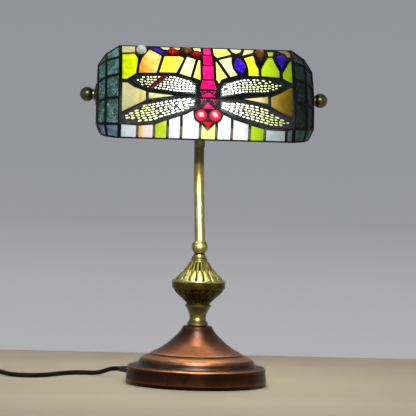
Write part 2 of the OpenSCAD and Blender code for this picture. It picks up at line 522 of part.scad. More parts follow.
// the ball is turned flat where it faces the washer, and bored for its stud
module knob(s) {
  color("goldenrod") mirror([s > 0 ? 0 : 1, 0, 0]) along_x(0) difference() {
    union() {
      translate([0, 0, knob_x]) cylinder(r = 6.2, h = 1.7);
      translate([0, 0, knob_x + 1.2]) cylinder(r = 5.2, h = 4);
      intersection() {
        translate([0, 0, end_x + 11.5]) sphere(r = ball_r);
        translate([0, 0, knob_x]) cylinder(r = 12, h = 20);
      }
    }
    translate([0, 0, knob_x - 1]) cylinder(r = stud_r, h = 7);
  }
}
module knob_stud(s) {
  color("silver") mirror([s > 0 ? 0 : 1, 0, 0]) along_x(112) cylinder(r = stud_r, h = knob_x + 6 - 112);
}
module knob_left() { knob(-1); }
module knob_right() { knob(1); }
module knob_left_stud() { knob_stud(-1); }
module knob_right_stud() { knob_stud(1); }
module cup_washer(s) {
  mirror([s > 0 ? 0 : 1, 0, 0]) along_x(0) rotate_extrude()
    polygon([[2.8, end_x], [12.7, end_x], [12.9, end_x + 0.8], [12.2, end_x + 1.6], [9.8, end_x + 2.3],
      [7.6, end_x + 2.9], [7, end_x + 3.5], [2.8, end_x + 3.5]]);
}
module cup_washer_left() { color("olive") cup_washer(-1); }
module cup_washer_right() { color("olive") cup_washer(1); }

// ---------- shade nodes ----------

module came_front() { color([0.15, 0.15, 0.15]) came_half_shade(); }
module came_back() { color([0.2, 0.2, 0.2]) rotate([0, 0, 180]) came_half_shade(); }
module came_right() { color([0.1, 0.1, 0.15]) end_came(); }
module came_left() { color([0.1, 0.1, 0.15]) mirror([1, 0, 0]) end_came(); }
module glass_teal_right() { color("teal") end_glass(); }
module glass_teal_left() { color("teal") mirror([1, 0, 0]) end_glass(); }
module glass_lime() { color("yellowgreen") { panes(lime); top_panes(top_lime); } }
module glass_yellow() { color("yellow") { panes(yellow); top_panes(top_yellow); } }
module glass_cream() { color("ivory") { panes(cream); top_panes(top_cream); } }
module glass_streaky() { color("orange") panes(streaky); }
module glass_amber() { color("burlywood") panes(amber); }
module glass_skirt() { color("white") panes(skirt); }
module glass_body() { color("deeppink") panes(body); }
module glass_wings() { color("lemonchiffon") panes(wings); }
module glass_navy() { color("navy") panes(navy); }

// slots of one wing: rows of short slots along the wing, from its root to its tip
wing_lines = [
  [[-15, 60], [-80, 68.3], 7.2], [[-17.5, 43.6], [-93, 24.5], 6.6],
  [[17.5, 58], [84, 65.6], 7.2], [[18, 39.8], [93, 22.5], 6.4]];
module slots(w) {
  a = w[0];
  b = w[1];
  turn = atan2(b[1] - a[1], b[0] - a[0]);
  reach = norm(b - a);
  translate(a) rotate([0, 0, turn])
    for (row = [-2:2], i = [0:floor(reach / w[2]) - 1])
      translate([(i + 0.5 + 0.25 * (row % 2)) * w[2], row * 3.6]) square([5, 1.9], center = true);
}
module filigree_plate(i) {
  multmatrix([[1, 0, 0, 0], [0, 0, -1, 0], [0, 1, 0, shade_z], [0, 0, 0, 1]]) linear_extrude(height = 90)
    difference() {
      polygon(wings[i]);
      intersection() { polygon(wing_inside(i)); slots(wing_lines[i]); }
    }
}
// the wings' outlines are clockwise from the left wings' tips and from the right wings' roots
function wing_inside(i) = smaller(wings[i], 1.6);
module wing_filigree() {
  color([0.25, 0.2, 0.1]) both() intersection() {
    skin(glass_in - filigree_t, glass_in);
    union() for (i = [0:3]) filigree_plate(i);
  }
}
module jewels_red() { color("red") jewels_of("red"); }
module jewels_amber() { color("chocolate") jewels_of("amber"); }
module jewels_blue() { color("mediumblue") jewels_of("blue"); }
module jewels_clear() { color("gainsboro") jewels_of("clear"); }

// ---------- cord ----------

module cord_run() { color([0.1, 0.1, 0.1]) sweep(route_a, cord_d / 2); }
module cord_lead() { color([0.1, 0.1, 0.1]) sweep(route_b, cord_d / 2); }
module cord_tail() { color([0.1, 0.1, 0.1]) sweep(route_c, cord_d / 2); }
module cord_coil() { color([0.15, 0.15, 0.15]) translate(coil_at) rotate_extrude() translate([coil_mid - coil_w / 2, 0]) square([coil_w, 11.2]); }
module switch_case() {
  color([0.2, 0.2, 0.2]) difference() {
    union() {
      translate([sw_x - 11, sw_y + 8, 0]) cube([22, 44, 15]);
      translate([sw_x, sw_y, 8]) rotate([-90, 0, 0]) cylinder(r1 = 4, r2 = 6.5, h = 8);
      translate([sw_x, sw_y + 60, 8]) rotate([90, 0, 0]) cylinder(r1 = 4, r2 = 6.5, h = 8);
    }
    translate([sw_x - 6.4, sw_y + 19, 9]) cube([12.8, 22, 10]);
  }
}
// the rocker turns on its own middle pin; at rest its near end is down
module switch_rocker() {
  color("silver") translate([sw_x, sw_y + 30, 14]) rotate([7, 0, 0]) union() {
    translate([-6, 0, 0]) rotate([0, 90, 0]) cylinder(r = 3.4, h = 12);
    multmatrix([[0, 0, 1, -6], [1, 0, 0, 0], [0, 1, 0, 0], [0, 0, 0, 1]]) linear_extrude(height = 12)
      polygon([[-9.4, 0], [-9.4, 2.2], [0, 3.2], [9.4, 2.2], [9.4, 0], [3, -2], [-3, -2]]);
  }
}
module plug_body() {
  color([0.15, 0.15, 0.15]) union() {
    translate([plug_x, 14, 8]) rotate([-90, 0, 0]) cylinder(r1 = 4, r2 = 6, h = 12);
    translate([plug_x, 0, 8]) multmatrix([[1, 0, 0, 0], [0, 0, 1, 24], [0, -1, 0, 0], [0, 0, 0, 1]])
      linear_extrude(height = 26) polygon([[-11, -5], [-8, -8], [8, -8], [11, -5], [11, 5], [8, 8], [-8, 8], [-11, 5]]);
  }
}
module plug_pins() {
  color("silver") for (s = [-1, 1]) translate([plug_x + s * 6.35 - 0.75, 50, 8 - 3.2]) cube([1.5, 17.5, 6.4]);
}

felt_pad();
base_shell();
base_cone();
base_weight();
threaded_rod();
base_nut();
strain_relief();
lower_collar();
urn_bowl();
urn_cap();
neck_rings();
neck_ball();
stem_tube();
stem_nut();
yoke();
yoke_spacers();
socket_bracket();
socket_shell();
socket_core();
screw_shell();
centre_contact();
bulb_glass();
bulb_cap();
bulb_tip();
knob_left();
knob_right();
knob_left_stud();
knob_right_stud();
came_front();
came_back();
came_left();
came_right();
cup_washer_left();
cup_washer_right();
glass_lime();
glass_yellow();
glass_cream();
glass_streaky();
glass_amber();
glass_skirt();
glass_teal_left();
glass_teal_right();
glass_body();
glass_wings();
glass_navy();
wing_filigree();
jewels_red();
jewels_amber();
jewels_blue();
jewels_clear();
cord_run();
cord_lead();
cord_coil();
cord_tail();
switch_case();
switch_rocker();
plug_body();
plug_pins();
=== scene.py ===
"""Stained-glass table lamp: the looks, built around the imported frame. Metres, +Z up, the front faces -Y."""
import math
import random

import bmesh
import bpy
from mathutils import Matrix, Vector
from mathutils.bvhtree import BVHTree

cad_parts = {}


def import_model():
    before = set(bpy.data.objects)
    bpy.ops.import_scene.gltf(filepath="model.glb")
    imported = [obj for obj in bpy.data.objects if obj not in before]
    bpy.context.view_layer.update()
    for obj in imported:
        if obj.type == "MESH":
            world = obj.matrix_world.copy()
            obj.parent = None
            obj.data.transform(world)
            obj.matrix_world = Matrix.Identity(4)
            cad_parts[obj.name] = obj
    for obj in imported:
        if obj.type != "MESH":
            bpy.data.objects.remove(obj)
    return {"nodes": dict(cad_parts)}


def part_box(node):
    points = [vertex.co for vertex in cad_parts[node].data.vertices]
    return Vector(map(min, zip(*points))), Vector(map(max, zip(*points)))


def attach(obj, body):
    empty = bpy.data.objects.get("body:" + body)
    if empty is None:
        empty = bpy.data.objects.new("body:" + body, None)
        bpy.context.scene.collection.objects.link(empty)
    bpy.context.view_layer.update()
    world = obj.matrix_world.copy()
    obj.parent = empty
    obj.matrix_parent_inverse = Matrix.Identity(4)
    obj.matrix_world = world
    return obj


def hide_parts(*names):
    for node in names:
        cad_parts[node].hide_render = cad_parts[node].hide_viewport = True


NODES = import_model()["nodes"]
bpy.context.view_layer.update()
MM = 0.001
random.seed(7)

knob_low, knob_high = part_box("knob_left")
# The bulb's centre, on the tilt axis, so that light measured from it stays true as the shade tilts.
BULB = Vector((-0.002, 0.0, (knob_low.z + knob_high.z) / 2))

# Heights on the shade: its lower edge, the top of its skirt of short panes, the top of the dragonfly's
# eyes, the middle of its head's slant, and the foot of its thorax.
SHADE_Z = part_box("came_front")[0].z
SKIRT_TOP = SHADE_Z + 0.017
EYES_TOP = SHADE_Z + 0.050
HEAD_TOP = SHADE_Z + 0.029
THORAX_FOOT = SHADE_Z + 0.039
# The front's folds, where a flat plate on it has to bend.
FOLDS = [SHADE_Z + 0.0476, SHADE_Z + 0.0749]

# The bulb's light on the glass is GLOW_NEAR / (distance squared + GLOW_SOFT), in square metres.
GLOW_NEAR = 0.0049
GLOW_SOFT = 0.0012


def in_scene(name, data):
    """A new object in the scene."""
    o = bpy.data.objects.new(name, data)
    bpy.context.scene.collection.objects.link(o)
    return o


# ---- camera

EYE_DISTANCE = 3.0
EYE_HEIGHT = 0.292
EYE_TURN = math.radians(-3.5)
EYE_ROLL = math.radians(1.65)
AIM_HEIGHT = 0.210
AIM_RIGHT = 0.0085
LENS = 218.7
SENSOR = 36


def make_camera():
    forward = Vector((-math.sin(EYE_TURN), math.cos(EYE_TURN), 0))
    sideways = Vector((forward.y, -forward.x, 0))
    aim = sideways * AIM_RIGHT + Vector((0, 0, AIM_HEIGHT))
    place = aim - forward * EYE_DISTANCE
    place.z = EYE_HEIGHT
    camera = in_scene("camera", bpy.data.cameras.new("camera"))
    look = (aim - place).to_track_quat("-Z", "Y").to_matrix().to_4x4()
    camera.matrix_world = Matrix.Translation(place) @ look @ Matrix.Rotation(EYE_ROLL, 4, "Z")
    camera.data.sensor_width = SENSOR
    camera.data.lens = LENS
    camera.data.clip_end = 50
    bpy.context.scene.camera = camera


make_camera()

# ---- material helpers


class Paint:
    """One node material: a Principled shader and short calls that add nodes to it."""

    def __init__(self, name, **sockets):
        self.m = bpy.data.materials.new(name)
        self.m.use_nodes = True
        self.tree = self.m.node_tree
        self.tree.nodes.clear()
        self.shader = self.node("BsdfPrincipled")
        self.coords = self.node("TexCoord").outputs["Object"]
        values = {key.replace("_", " "): value for key, value in sockets.items()}
        self.feed(self.node("OutputMaterial"), {0: self.feed(self.shader, values)})

    def node(self, kind, **settings):
        n = self.tree.nodes.new("ShaderNode" + kind)
        for key, value in settings.items():
            setattr(n, key, value)
        return n

    def feed(self, n, values):
        """Sets or links a node's inputs, each by its name or number; returns the node's first output."""
        for key, value in values.items():
            if isinstance(value, bpy.types.NodeSocket):
                self.tree.links.new(value, n.inputs[key])
            else:
                n.inputs[key].default_value = value
        return n.outputs[0] if n.outputs else None

    def math(self, how, *values, clamp=False):
        n = self.node("Math", operation=how, use_clamp=clamp)
        return self.feed(n, dict(enumerate(values)))

    def times(self, first, *others):
        """The product of two or more values."""
        for other in others:
            first = self.math("MULTIPLY", first, other)
        return first

    def plus(self, a, b, clamp=False):
        return self.math("ADD", a, b, clamp=clamp)

    def minus(self, a, b):
        return self.math("SUBTRACT", a, b)

    def noise(self, scale, detail=3.0, rough=0.55, stretch=None, turn=(0, 0, 0), twist=0.0):
        where = self.coords
        if stretch:
            where = self.feed(self.node("Mapping"),
                              {"Vector": where, "Scale": stretch, "Rotation": turn})
        return self.feed(self.node("TexNoise"), {
            "Vector": where, "Scale": scale, "Detail": detail, "Roughness": rough, "Distortion": twist})

    def ramp(self, source, *stops):
        """A colour ramp; each stop is a position and a colour."""
        n = self.node("ValToRGB")
        while len(n.color_ramp.elements) < len(stops):
            n.color_ramp.elements.new(0.5)
        for e, (place, colour) in zip(n.color_ramp.elements, stops):
            e.position = place
            e.color = (*colour, 1)
        return self.feed(n, {0: source})

    def between(self, source, low, high, to_low=0.0, to_high=1.0):
        """A smooth step from to_low, where source is low, to to_high, where it is high."""
        n = self.node("MapRange", interpolation_type="SMOOTHSTEP")
        return self.feed(n, dict(enumerate((source, low, high, to_low, to_high))))

    def mix(self, share, a, b, how="MIX"):
        n = self.node("Mix", data_type="RGBA", blend_type=how)
        a, b = ((*v, 1) if isinstance(v, tuple) else v for v in (a, b))
        self.feed(n, {0: share, 6: a, 7: b})
        return n.outputs[2]

    def tint(self, share, base, light, dull, lit, how="MIX"):
        """The unlit and the lit colour of glass, each with a share of a new one."""
        return self.mix(share, base, dull, how), self.mix(share, light, lit, how)

    def bump(self, height, strength, depth):
        n = self.node("Bump")
        self.to("Normal", self.feed(n, {"Height": height, "Strength": strength, "Distance": depth}))

    def rough(self, scale, detail, low, high):
        """Roughness that varies from low to high."""
        self.to("Roughness", self.between(self.noise(scale, detail), 0.3, 0.7, low, high))

    def to(self, key, source):
        self.feed(self.shader, {key: source})

    def shine(self, colour, strength):
        self.to("Emission Color", colour)
        self.to("Emission Strength", strength)

    def xyz(self):
        n = self.node("SeparateXYZ")
        self.feed(n, {0: self.coords})
        return n.outputs

    def front_x(self):
        """Metres to the right of the middle as seen from outside, in front and at the back alike."""
        x, y, _ = self.xyz()
        return self.times(x, self.times(self.math("SIGN", y), -1.0))

    def strip(self, source, low, high, soft=0.0008):
        """1 where source lies between low and high, else 0."""
        return self.times(self.between(source, low - soft, low + soft),
                          self.between(source, high - soft, high + soft, 1.0, 0.0))

    def height(self):
        return self.xyz()[2]

    def attribute(self, name):
        return self.node("Attribute", attribute_name=name).outputs["Fac"]

    def glow(self, fade=1.0):
        """Brightness of the bulb's light at a point of the shade; the socket's end gets less of it."""
        x, y, z = self.xyz()
        dx = self.minus(x, BULB.x)
        dz = self.minus(z, BULB.z)
        far2 = self.plus(self.times(dx, dx), self.plus(self.times(y, y), self.times(dz, dz)))
        near = self.math("DIVIDE", GLOW_NEAR, self.plus(far2, GLOW_SOFT))
        return self.times(self.math("POWER", near, fade), self.between(x, 0.045, 0.125, 1.0, 0.3))


def give(paint, *names):
    for name in names:
        materials = NODES[name].data.materials
        materials.clear()
        materials.append(paint.m)


# ---- mesh helpers


def rounded(name, width, segments):
    """A CAD node's edges rounded by modifiers; its mesh stays as it is."""
    o = NODES[name]
    weld = o.modifiers.new("weld", "WELD")
    weld.merge_threshold = 2e-6
    bevel = o.modifiers.new("bevel", "BEVEL")
    bevel.width = width
    bevel.segments = segments
    bevel.limit_method = "ANGLE"
    bevel.angle_limit = math.radians(25)
    smooth(o, 40)


def smooth(o, angle):
    """Smooth shading that stays sharp at edges with more than this angle, in degrees."""
    for polygon in o.data.polygons:
        polygon.use_smooth = True
    if "custom_normal" in o.data.attributes:
        o.data.attributes.remove(o.data.attributes["custom_normal"])
    split = o.modifiers.new("split", "EDGE_SPLIT")
    split.split_angle = math.radians(angle)


def welded(name):
    """A CAD node's mesh as a bmesh whose faces are joined up."""
    bm = bmesh.new()
    bm.from_mesh(NODES[name].data)
    bmesh.ops.remove_doubles(bm, verts=bm.verts, dist=2e-6)
    bm.normal_update()
    return bm


def mesh_of(name, bm):
    """A bmesh as a mesh whose faces point outwards; the bmesh is freed."""
    bmesh.ops.recalc_face_normals(bm, faces=bm.faces)
    mesh = bpy.data.meshes.new(name)
    bm.to_mesh(mesh)
    bm.free()
    return mesh


def piece(name, mesh, body, paint, replaces=()):
    o = in_scene(name, mesh)
    mesh.materials.clear()
    mesh.materials.append(paint.m)
    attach(o, body)
    if replaces:
        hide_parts(*replaces)
    return o


def shade_piece(name, bm, paint, replaces=()):
    """A piece on the shade from a bmesh."""
    piece(name, mesh_of(name, bm), "shade", paint, replaces)


def band(bm, below, above):
    """Smooth faces between two closed rows of as many vertices."""
    for i in range(len(below)):
        j = (i + 1) % len(below)
        bm.faces.new((below[i], below[j], above[j], above[i])).smooth = True


def turned_mesh(name, profile, steps, shape):
    """A closed outline of (radius, height) turned round Z. shape(radius, height, angle) gives the radius
    there and a value from 0 to 1 of wear and painted highlight, kept as the attribute wear_and_sheen."""
    bm = bmesh.new()
    wear_and_sheen = bm.verts.layers.float.new("wear_and_sheen")
    rings = []
    for k in range(steps):
        a = 2 * math.pi * k / steps
        ring = []
        for r, z in profile:
            moved, share = shape(r, z, a)
            v = bm.verts.new((moved * math.cos(a), moved * math.sin(a), z))
            v[wear_and_sheen] = share
            ring.append(v)
        rings.append(ring)
    for a, b in zip(rings, rings[1:] + rings[:1]):
        band(bm, a, b)
    return mesh_of(name, bm)


def curve_points(p1, m1, p2, m2, per):
    """per points on the curve from p1, where it runs along m1, to p2, where it runs along m2, without p2."""
    out = []
    for step in range(per):
        t = step / per
        out.append(p1 * (2 * t ** 3 - 3 * t * t + 1) + m1 * (t ** 3 - 2 * t * t + t)
                   + p2 * (3 * t * t - 2 * t ** 3) + m2 * (t ** 3 - t * t))
    return out


def eased(points, per):
    """A smooth run through the given points, with per steps from each to the next."""
    out = []
    last = len(points) - 1
    for i in range(last):
        p0, p1, p2, p3 = (Vector(points[max(0, min(last, i + k))]) for k in (-1, 0, 1, 2))
        out += curve_points(p1, (p2 - p0) / 2, p2, (p3 - p1) / 2, per)
    return [*out, Vector(points[-1])]


# ---- cord

CORD_D = 0.0055
# The route in millimetres: to the switch, through it, on to the coil, and from the coil to the plug.
ROUTE_A = [(-89.2, 57.3, 11), (-94.2, 60.5, 11), (-101, 65.5, 9.6), (-108, 72, 6.6), (-114, 78.5, 4.2),
           (-121, 84, 3), (-130.5, 87, 2.8), (-141, 86, 2.8), (-151.5, 79, 2.8), (-161, 68.5, 2.8),
           (-170, 56.5, 2.8), (-179, 45, 2.8), (-188, 38, 2.8), (-199, 35, 2.8), (-210, 37, 2.8),
           (-219, 44, 2.8), (-225, 54, 2.8), (-229, 64, 2.8), (-234, 75, 2.8), (-241, 84, 3.2),
           (-251, 89.5, 4.4), (-261.5, 89.5, 6), (-270, 85.5, 7.4), (-276.6, 77.5, 8), (-278.7, 70.6, 8),
           (-279, 66, 8)]
ROUTE_IN_SWITCH = [(-279, y, 8) for y in (51, 36, 21)]
ROUTE_B = [(-279, 6, 8), (-279, 1, 8), (-279, -6, 6.6), (-279, -13, 4.2)]
ROUTE_C = [(-362.4, -22, 8.3), (-362.6, -14, 8.1), (-362.6, -4, 8), (-362.6, 6, 8), (-362.6, 14, 8)]
COIL_AT = (-320.6, -22)
COIL_MID = 33
COIL_TURNS = 6.5
COIL_PITCH = 5.55
COIL_LOW = 2.8
COIL_CLIMB = 5.5


def coil_points():
    """The coil's turns, clockwise from its +X side: a layer wound inwards, then one wound outwards on it."""
    points = []
    half = COIL_TURNS / 2
    outer = COIL_MID + half * COIL_PITCH / 2
    steps = int(COIL_TURNS * 20)
    for k in range(1, steps):
        turn = COIL_TURNS * k / steps
        inward = min(turn, COIL_TURNS - turn)
        radius = outer - inward * COIL_PITCH
        climb = min(max((turn - half + 0.25) / 0.5, 0), 1)
        height = COIL_LOW + COIL_CLIMB * climb * climb * (3 - 2 * climb)
        a = -2 * math.pi * turn
        points.append((COIL_AT[0] + radius * math.cos(a), COIL_AT[1] + radius * math.sin(a), height))
    return points


def cord_rubber():
    p = Paint("black_cord", Specular_IOR_Level=0.1)
    grain = p.noise(900, 2)
    p.to("Base Color", p.ramp(p.noise(60, 4), (0.3, (0.004, 0.004, 0.005)), (0.75, (0.013, 0.013, 0.014))))
    p.to("Roughness", p.between(grain, 0.2, 0.8, 0.45, 0.6))
    p.bump(grain, 0.15, 0.0002)
    return p


def make_cord():
    points = ROUTE_A + ROUTE_IN_SWITCH + ROUTE_B + coil_points() + ROUTE_C
    curve = bpy.data.curves.new("cord", "CURVE")
    curve.dimensions = "3D"
    curve.bevel_depth = CORD_D / 2
    curve.bevel_resolution = 5
    curve.resolution_u = 6
    spline = curve.splines.new("BEZIER")
    spline.bezier_points.add(len(points) - 1)
    for b, point in zip(spline.bezier_points, points):
        b.co = Vector(point) * MM
        b.handle_left_type = b.handle_right_type = "AUTO"
    curve.materials.append(cord_rubber().m)
    cord = in_scene("mains_cord", curve)
    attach(cord, "stand")
    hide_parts("cord_run", "cord_lead", "cord_coil", "cord_tail")


make_cord()

# ---- glass


def glass(name, dull, lit, power, streak=1.0, turn=0.3, wash=0.4, grain=60, shine=0.12, touch=None):
    """Opalescent glass with the bulb behind it: dull and lit are each a dark, a middle and a light colour.
    The glass at the socket's end is painted darker, as shade from the socket. touch(paint, colour, light) may
    tint some of its panes."""
    p = Paint(name, Roughness=0.4, IOR=1.5, Specular_IOR_Level=shine)
    streaks = p.noise(grain, 5, 0.6, stretch=(1.0, 1.0, 0.28), turn=(0, turn, 0), twist=1.2)
    clouds = p.noise(38, 4, 0.6, twist=0.4)
    both = p.plus(p.times(streaks, 0.6), p.times(clouds, 0.4))
    tone = p.between(both, 0.5 - 0.17 / streak, 0.5 + 0.17 / streak)
    base = p.ramp(tone, *zip((0.0, 0.5, 1.0), dull))
    light = p.ramp(tone, *zip((0.0, 0.5, 1.0), lit))
    glow = p.glow()
    # where the light is strongest the glass washes out towards white
    light = p.mix(p.between(glow, 0.4, 1.0, 0.0, wash), light, (1.0, 1.0, 0.96))
    if touch:
        base, light = touch(p, base, light)
    # painted shade: the colour darkens towards the socket's end, where less of the bulb's light falls
    shade = p.between(p.xyz()[0], 0.05, 0.11, 0.0, 0.6)
    p.to("Base Color", p.mix(shade, base, (0.02, 0.02, 0.01)))
    p.shine(light, p.times(glow, power))
    p.bump(p.plus(p.noise(120, 2), p.times(p.noise(420, 2), 0.3)), 0.25, 0.0006)
    return p


def teal_glass(name, share, row, lift):
    """Rippled blue-green glass that holds small bright flecks; share is how much of the light reaches it, and
    less than a full share paints its colour darker as shade. The lowest row of panes has the colour row, and
    the light is lifted there."""
    p = Paint(name, Roughness=0.25, IOR=1.5, Specular_IOR_Level=0.1 + 0.2 * share)
    wave = p.noise(34, 4, 0.6, twist=2.4)
    tone = p.between(wave, 0.32, 0.68)
    green = p.ramp(tone, (0, (0.004, 0.02, 0.015)), (0.6, (0.018, 0.06, 0.046)), (1, (0.05, 0.13, 0.10)))
    blue = p.ramp(tone, (0, (0.004, 0.015, 0.014)), (0.6, (0.013, 0.043, 0.041)), (1, (0.04, 0.10, 0.096)))
    base = p.mix(p.between(p.noise(24, 1), 0.42, 0.58), green, blue)
    # painted shade: below a full share of light the colour is darkened
    if share < 1:
        base = p.mix(min(1, 1.1 - share), base, (0.002, 0.006, 0.004))
    bits = p.noise(210, 4, 0.75, stretch=(1, 1, 0.4), turn=(0.6, 0.5, 0.2), twist=1.8)
    fine = p.between(p.noise(520, 2, 0.6, twist=1.0), 0.60, 0.68)
    flecks = p.math("MAXIMUM", p.between(bits, 0.585, 0.66), p.times(fine, 0.5))
    light = p.mix(p.times(flecks, 0.5 * share), base, (0.36, 0.55, 0.47))
    lowest = p.between(p.height(), SKIRT_TOP + 0.0005, SKIRT_TOP - 0.0005)
    light = p.mix(p.times(lowest, p.between(wave, 0.38, 0.62, 0.3, 0.85)), light, row)
    p.to("Base Color", light)
    p.shine(light, p.times(p.glow(), 4.4 * share, p.plus(1.0, p.times(lowest, lift))))
    p.bump(p.plus(wave, p.times(flecks, 0.4)), 0.6, 0.0012)
    return p


def jewel_glass(name, dark, bright, core, power, eyes=None):
    """Cast glass, painted dark at its rim, brighter inside, and brightest where the lamp shines through its
    middle: painted light through the dome. eyes gives the colour of those set low on the shade, which the
    bulb lights harder, and the pale colour of the painted glare at their middle."""
    p = Paint(name, Roughness=0.06, IOR=1.52, Specular_IOR_Level=0.35)
    tone = p.between(p.noise(150, 3, 0.6, twist=1.0), 0.35, 0.68)
    middle = p.attribute("core")
    light = p.mix(p.plus(p.times(tone, 0.4), p.times(middle, 0.8), clamp=True), dark, bright)
    heart = p.between(p.times(middle, p.plus(tone, 0.3)), 0.45, 0.85)
    lit = p.mix(heart, light, core)
    strength = p.times(p.glow(0.8), power)
    if eyes:
        low = p.between(p.height(), EYES_TOP + 0.01, EYES_TOP)
        # painted glare: the eyes' middles are painted pale
        glare = p.between(p.plus(middle, p.times(tone, 0.3)), 0.45, 1.0)
        lit = p.mix(low, lit, p.mix(glare, *eyes))
        strength = p.times(strength, p.plus(1.0, p.times(low, 1.5)))
    p.to("Base Color", p.mix(0.85, light, dark))
    p.shine(lit, strength)
    p.bump(p.noise(300, 2), 0.08, 0.0004)
    return p


# how far up its height a jewel is widest
GIRDLE = 0.34


def connected(items, neighbours):
    """The items in groups that hang together through neighbours(item)."""
    left = set(items)
    groups = []
    while left:
        group, open_items = [], [left.pop()]
        while open_items:
            item = open_items.pop()
            group.append(item)
            for other in neighbours(item):
                if other in left:
                    left.remove(other)
                    open_items.append(other)
        groups.append(group)
    return groups


def girdle_loop(flat, per):
    """A closed run through the points of an outline, with per steps from each to the next. It is smooth, but
    an edge that ends in a sharp corner leaves it straight."""
    n = len(flat)
    loop = []
    for i in range(n):
        p0, p1, p2, p3 = (flat[(i + k) % n] for k in (-1, 0, 1, 2))
        sharp1 = (p1 - p0).normalized().dot((p2 - p1).normalized()) < 0.6
        sharp2 = (p2 - p1).normalized().dot((p3 - p2).normalized()) < 0.6
        m1 = (p2 - p1) if sharp1 else (p2 - p0) / 2
        m2 = (p2 - p1) if sharp2 else (p3 - p1) / 2
        loop += curve_points(p1, m1, p2, m2, per)
    return loop


def add_dome(bm, core, shell):
    """Adds the polished dome of one jewel to bm, on the girdle of its CAD shell."""
    middle = sum((v.co for v in shell), Vector()) / len(shell)
    faces = {f for v in shell for f in v.link_faces}
    outward = middle - Vector((middle.x, 0, SHADE_Z + 0.03))
    normal = -min(faces, key=lambda f: f.normal.dot(outward)).normal
    low = min(v.co.dot(normal) for v in shell)
    high = max(v.co.dot(normal) for v in shell)
    ring = [v.co.copy() for v in shell if v.co.dot(normal) < low + 0.00005]
    centre = sum(ring, Vector()) / len(ring)
    right = Vector((1, 0, 0))
    up = normal.cross(right)
    ring.sort(key=lambda q: math.atan2((q - centre).dot(up), (q - centre).dot(right)))
    loop = girdle_loop([Vector(((q - centre).dot(right), (q - centre).dot(up))) for q in ring], 4)
    girdle = low + (high - low) * GIRDLE
    levels = [(1.0, low), (1.0, girdle)]
    for degrees in (12, 24, 36, 48, 60, 70, 80):
        a = math.radians(degrees)
        levels.append((math.cos(a) ** 0.8, girdle + (high - girdle) * math.sin(a)))
    rings = []
    for scale, level in levels:
        row = []
        for q in loop:
            v = bm.verts.new(centre + right * q.x * scale + up * q.y * scale + normal * (level - low))
            v[core] = 1 - scale
            row.append(v)
        rings.append(row)
    for below, above in zip(rings, rings[1:]):
        band(bm, below, above)
    top = bm.verts.new(centre + normal * (high - low))
    top[core] = 1
    for a, b in zip(rings[-1], rings[-1][1:] + rings[-1][:1]):
        bm.faces.new((a, b, top)).smooth = True
    bm.faces.new(list(reversed(rings[0])))


def cabochons(node, paint):
    """Each jewel of a node again, as a polished dome on the same girdle."""
    source = welded(node)
    bm = bmesh.new()
    core = bm.verts.layers.float.new("core")
    for shell in connected(source.verts, lambda v: [e.other_vert(v) for e in v.link_edges]):
        add_dome(bm, core, shell)
    source.free()
    shade_piece(node + "_domes", bm, paint, [node])


# the red band on a wing: the place of its middle, to the right and up, and its lean
BAND_AT = (-0.0598, SHADE_Z + 0.0648)
BAND_SLANT = 1.15


def skirt_tints(p, base, light):
    """The skirt's panes: bluish at the ends with a dark last one, one with an orange edge beside a peach one,
    and one pale lime under the head."""
    x = p.front_x()
    blue = p.math("MAXIMUM", p.strip(x, -0.1, -0.08), p.strip(x, 0.067, 0.1))
    base, light = p.tint(blue, base, light, (0.85, 0.92, 0.95), (1.0, 1.08, 1.12), "MULTIPLY")
    orange = p.strip(x, -0.079, -0.0745, 0.0012)
    peach = p.times(p.strip(x, -0.0745, -0.062, 0.003), 0.6)
    lime = p.times(p.strip(x, -0.0072, 0.0112), 0.8)
    last = p.between(x, 0.092, 0.093)
    for share, dull, lit in ((orange, (0.6, 0.33, 0.06), (0.8, 0.42, 0.08)),
                             (peach, (0.6, 0.5, 0.42), (0.9, 0.72, 0.58)),
                             (lime, (0.5, 0.66, 0.1), (0.62, 0.86, 0.10)),
                             (last, (0.03, 0.05, 0.06), (0.20, 0.30, 0.40))):
        base, light = p.tint(share, base, light, dull, lit)
    return base, light


def lime_tints(p, base, light):
    """Greener towards the right, and duller in the skirt."""
    right = p.between(p.front_x(), 0.035, 0.065)
    skirt = p.between(p.height(), SKIRT_TOP + 0.005, SKIRT_TOP - 0.001)
    light = p.mix(p.times(skirt, 0.7), light, (0.34, 0.46, 0.03))
    return base, p.mix(p.times(right, 0.75), light, (0.26, 0.50, 0.01))


def yellow_tints(p, base, light):
    """The panes next to the body are paler."""
    near = p.between(p.math("ABSOLUTE", p.front_x()), 0.0285, 0.0255)
    return base, p.mix(p.times(near, 0.8), light, (0.68, 0.70, 0.15))


def wing_tints(p, base, light):
    """The wing glass is yellow-green towards the tips, with a red band across the upper left wing."""
    x = p.front_x()
    far = p.between(p.math("ABSOLUTE", x), 0.03, 0.085)
    base, light = p.tint(far, base, light, (0.55, 0.62, 0.2), (0.80, 0.92, 0.30))
    z = p.minus(p.height(), BAND_AT[1])
    across = p.minus(p.minus(x, BAND_AT[0]), p.times(z, BAND_SLANT))
    red = p.times(p.strip(across, -0.0042, 0.0042), p.between(z, -0.0115, -0.0105))
    return p.tint(red, base, light, (0.12, 0.0, 0.0), (0.16, 0.0, 0.0))


def body_tints(p, base, light):
    """The head and the neck glass are a purer red than the tail."""
    low = p.between(p.height(), HEAD_TOP + 0.005, HEAD_TOP - 0.005)
    return p.tint(low, base, light, (0.5, 0.0, 0.005), (0.85, 0.0, 0.01))


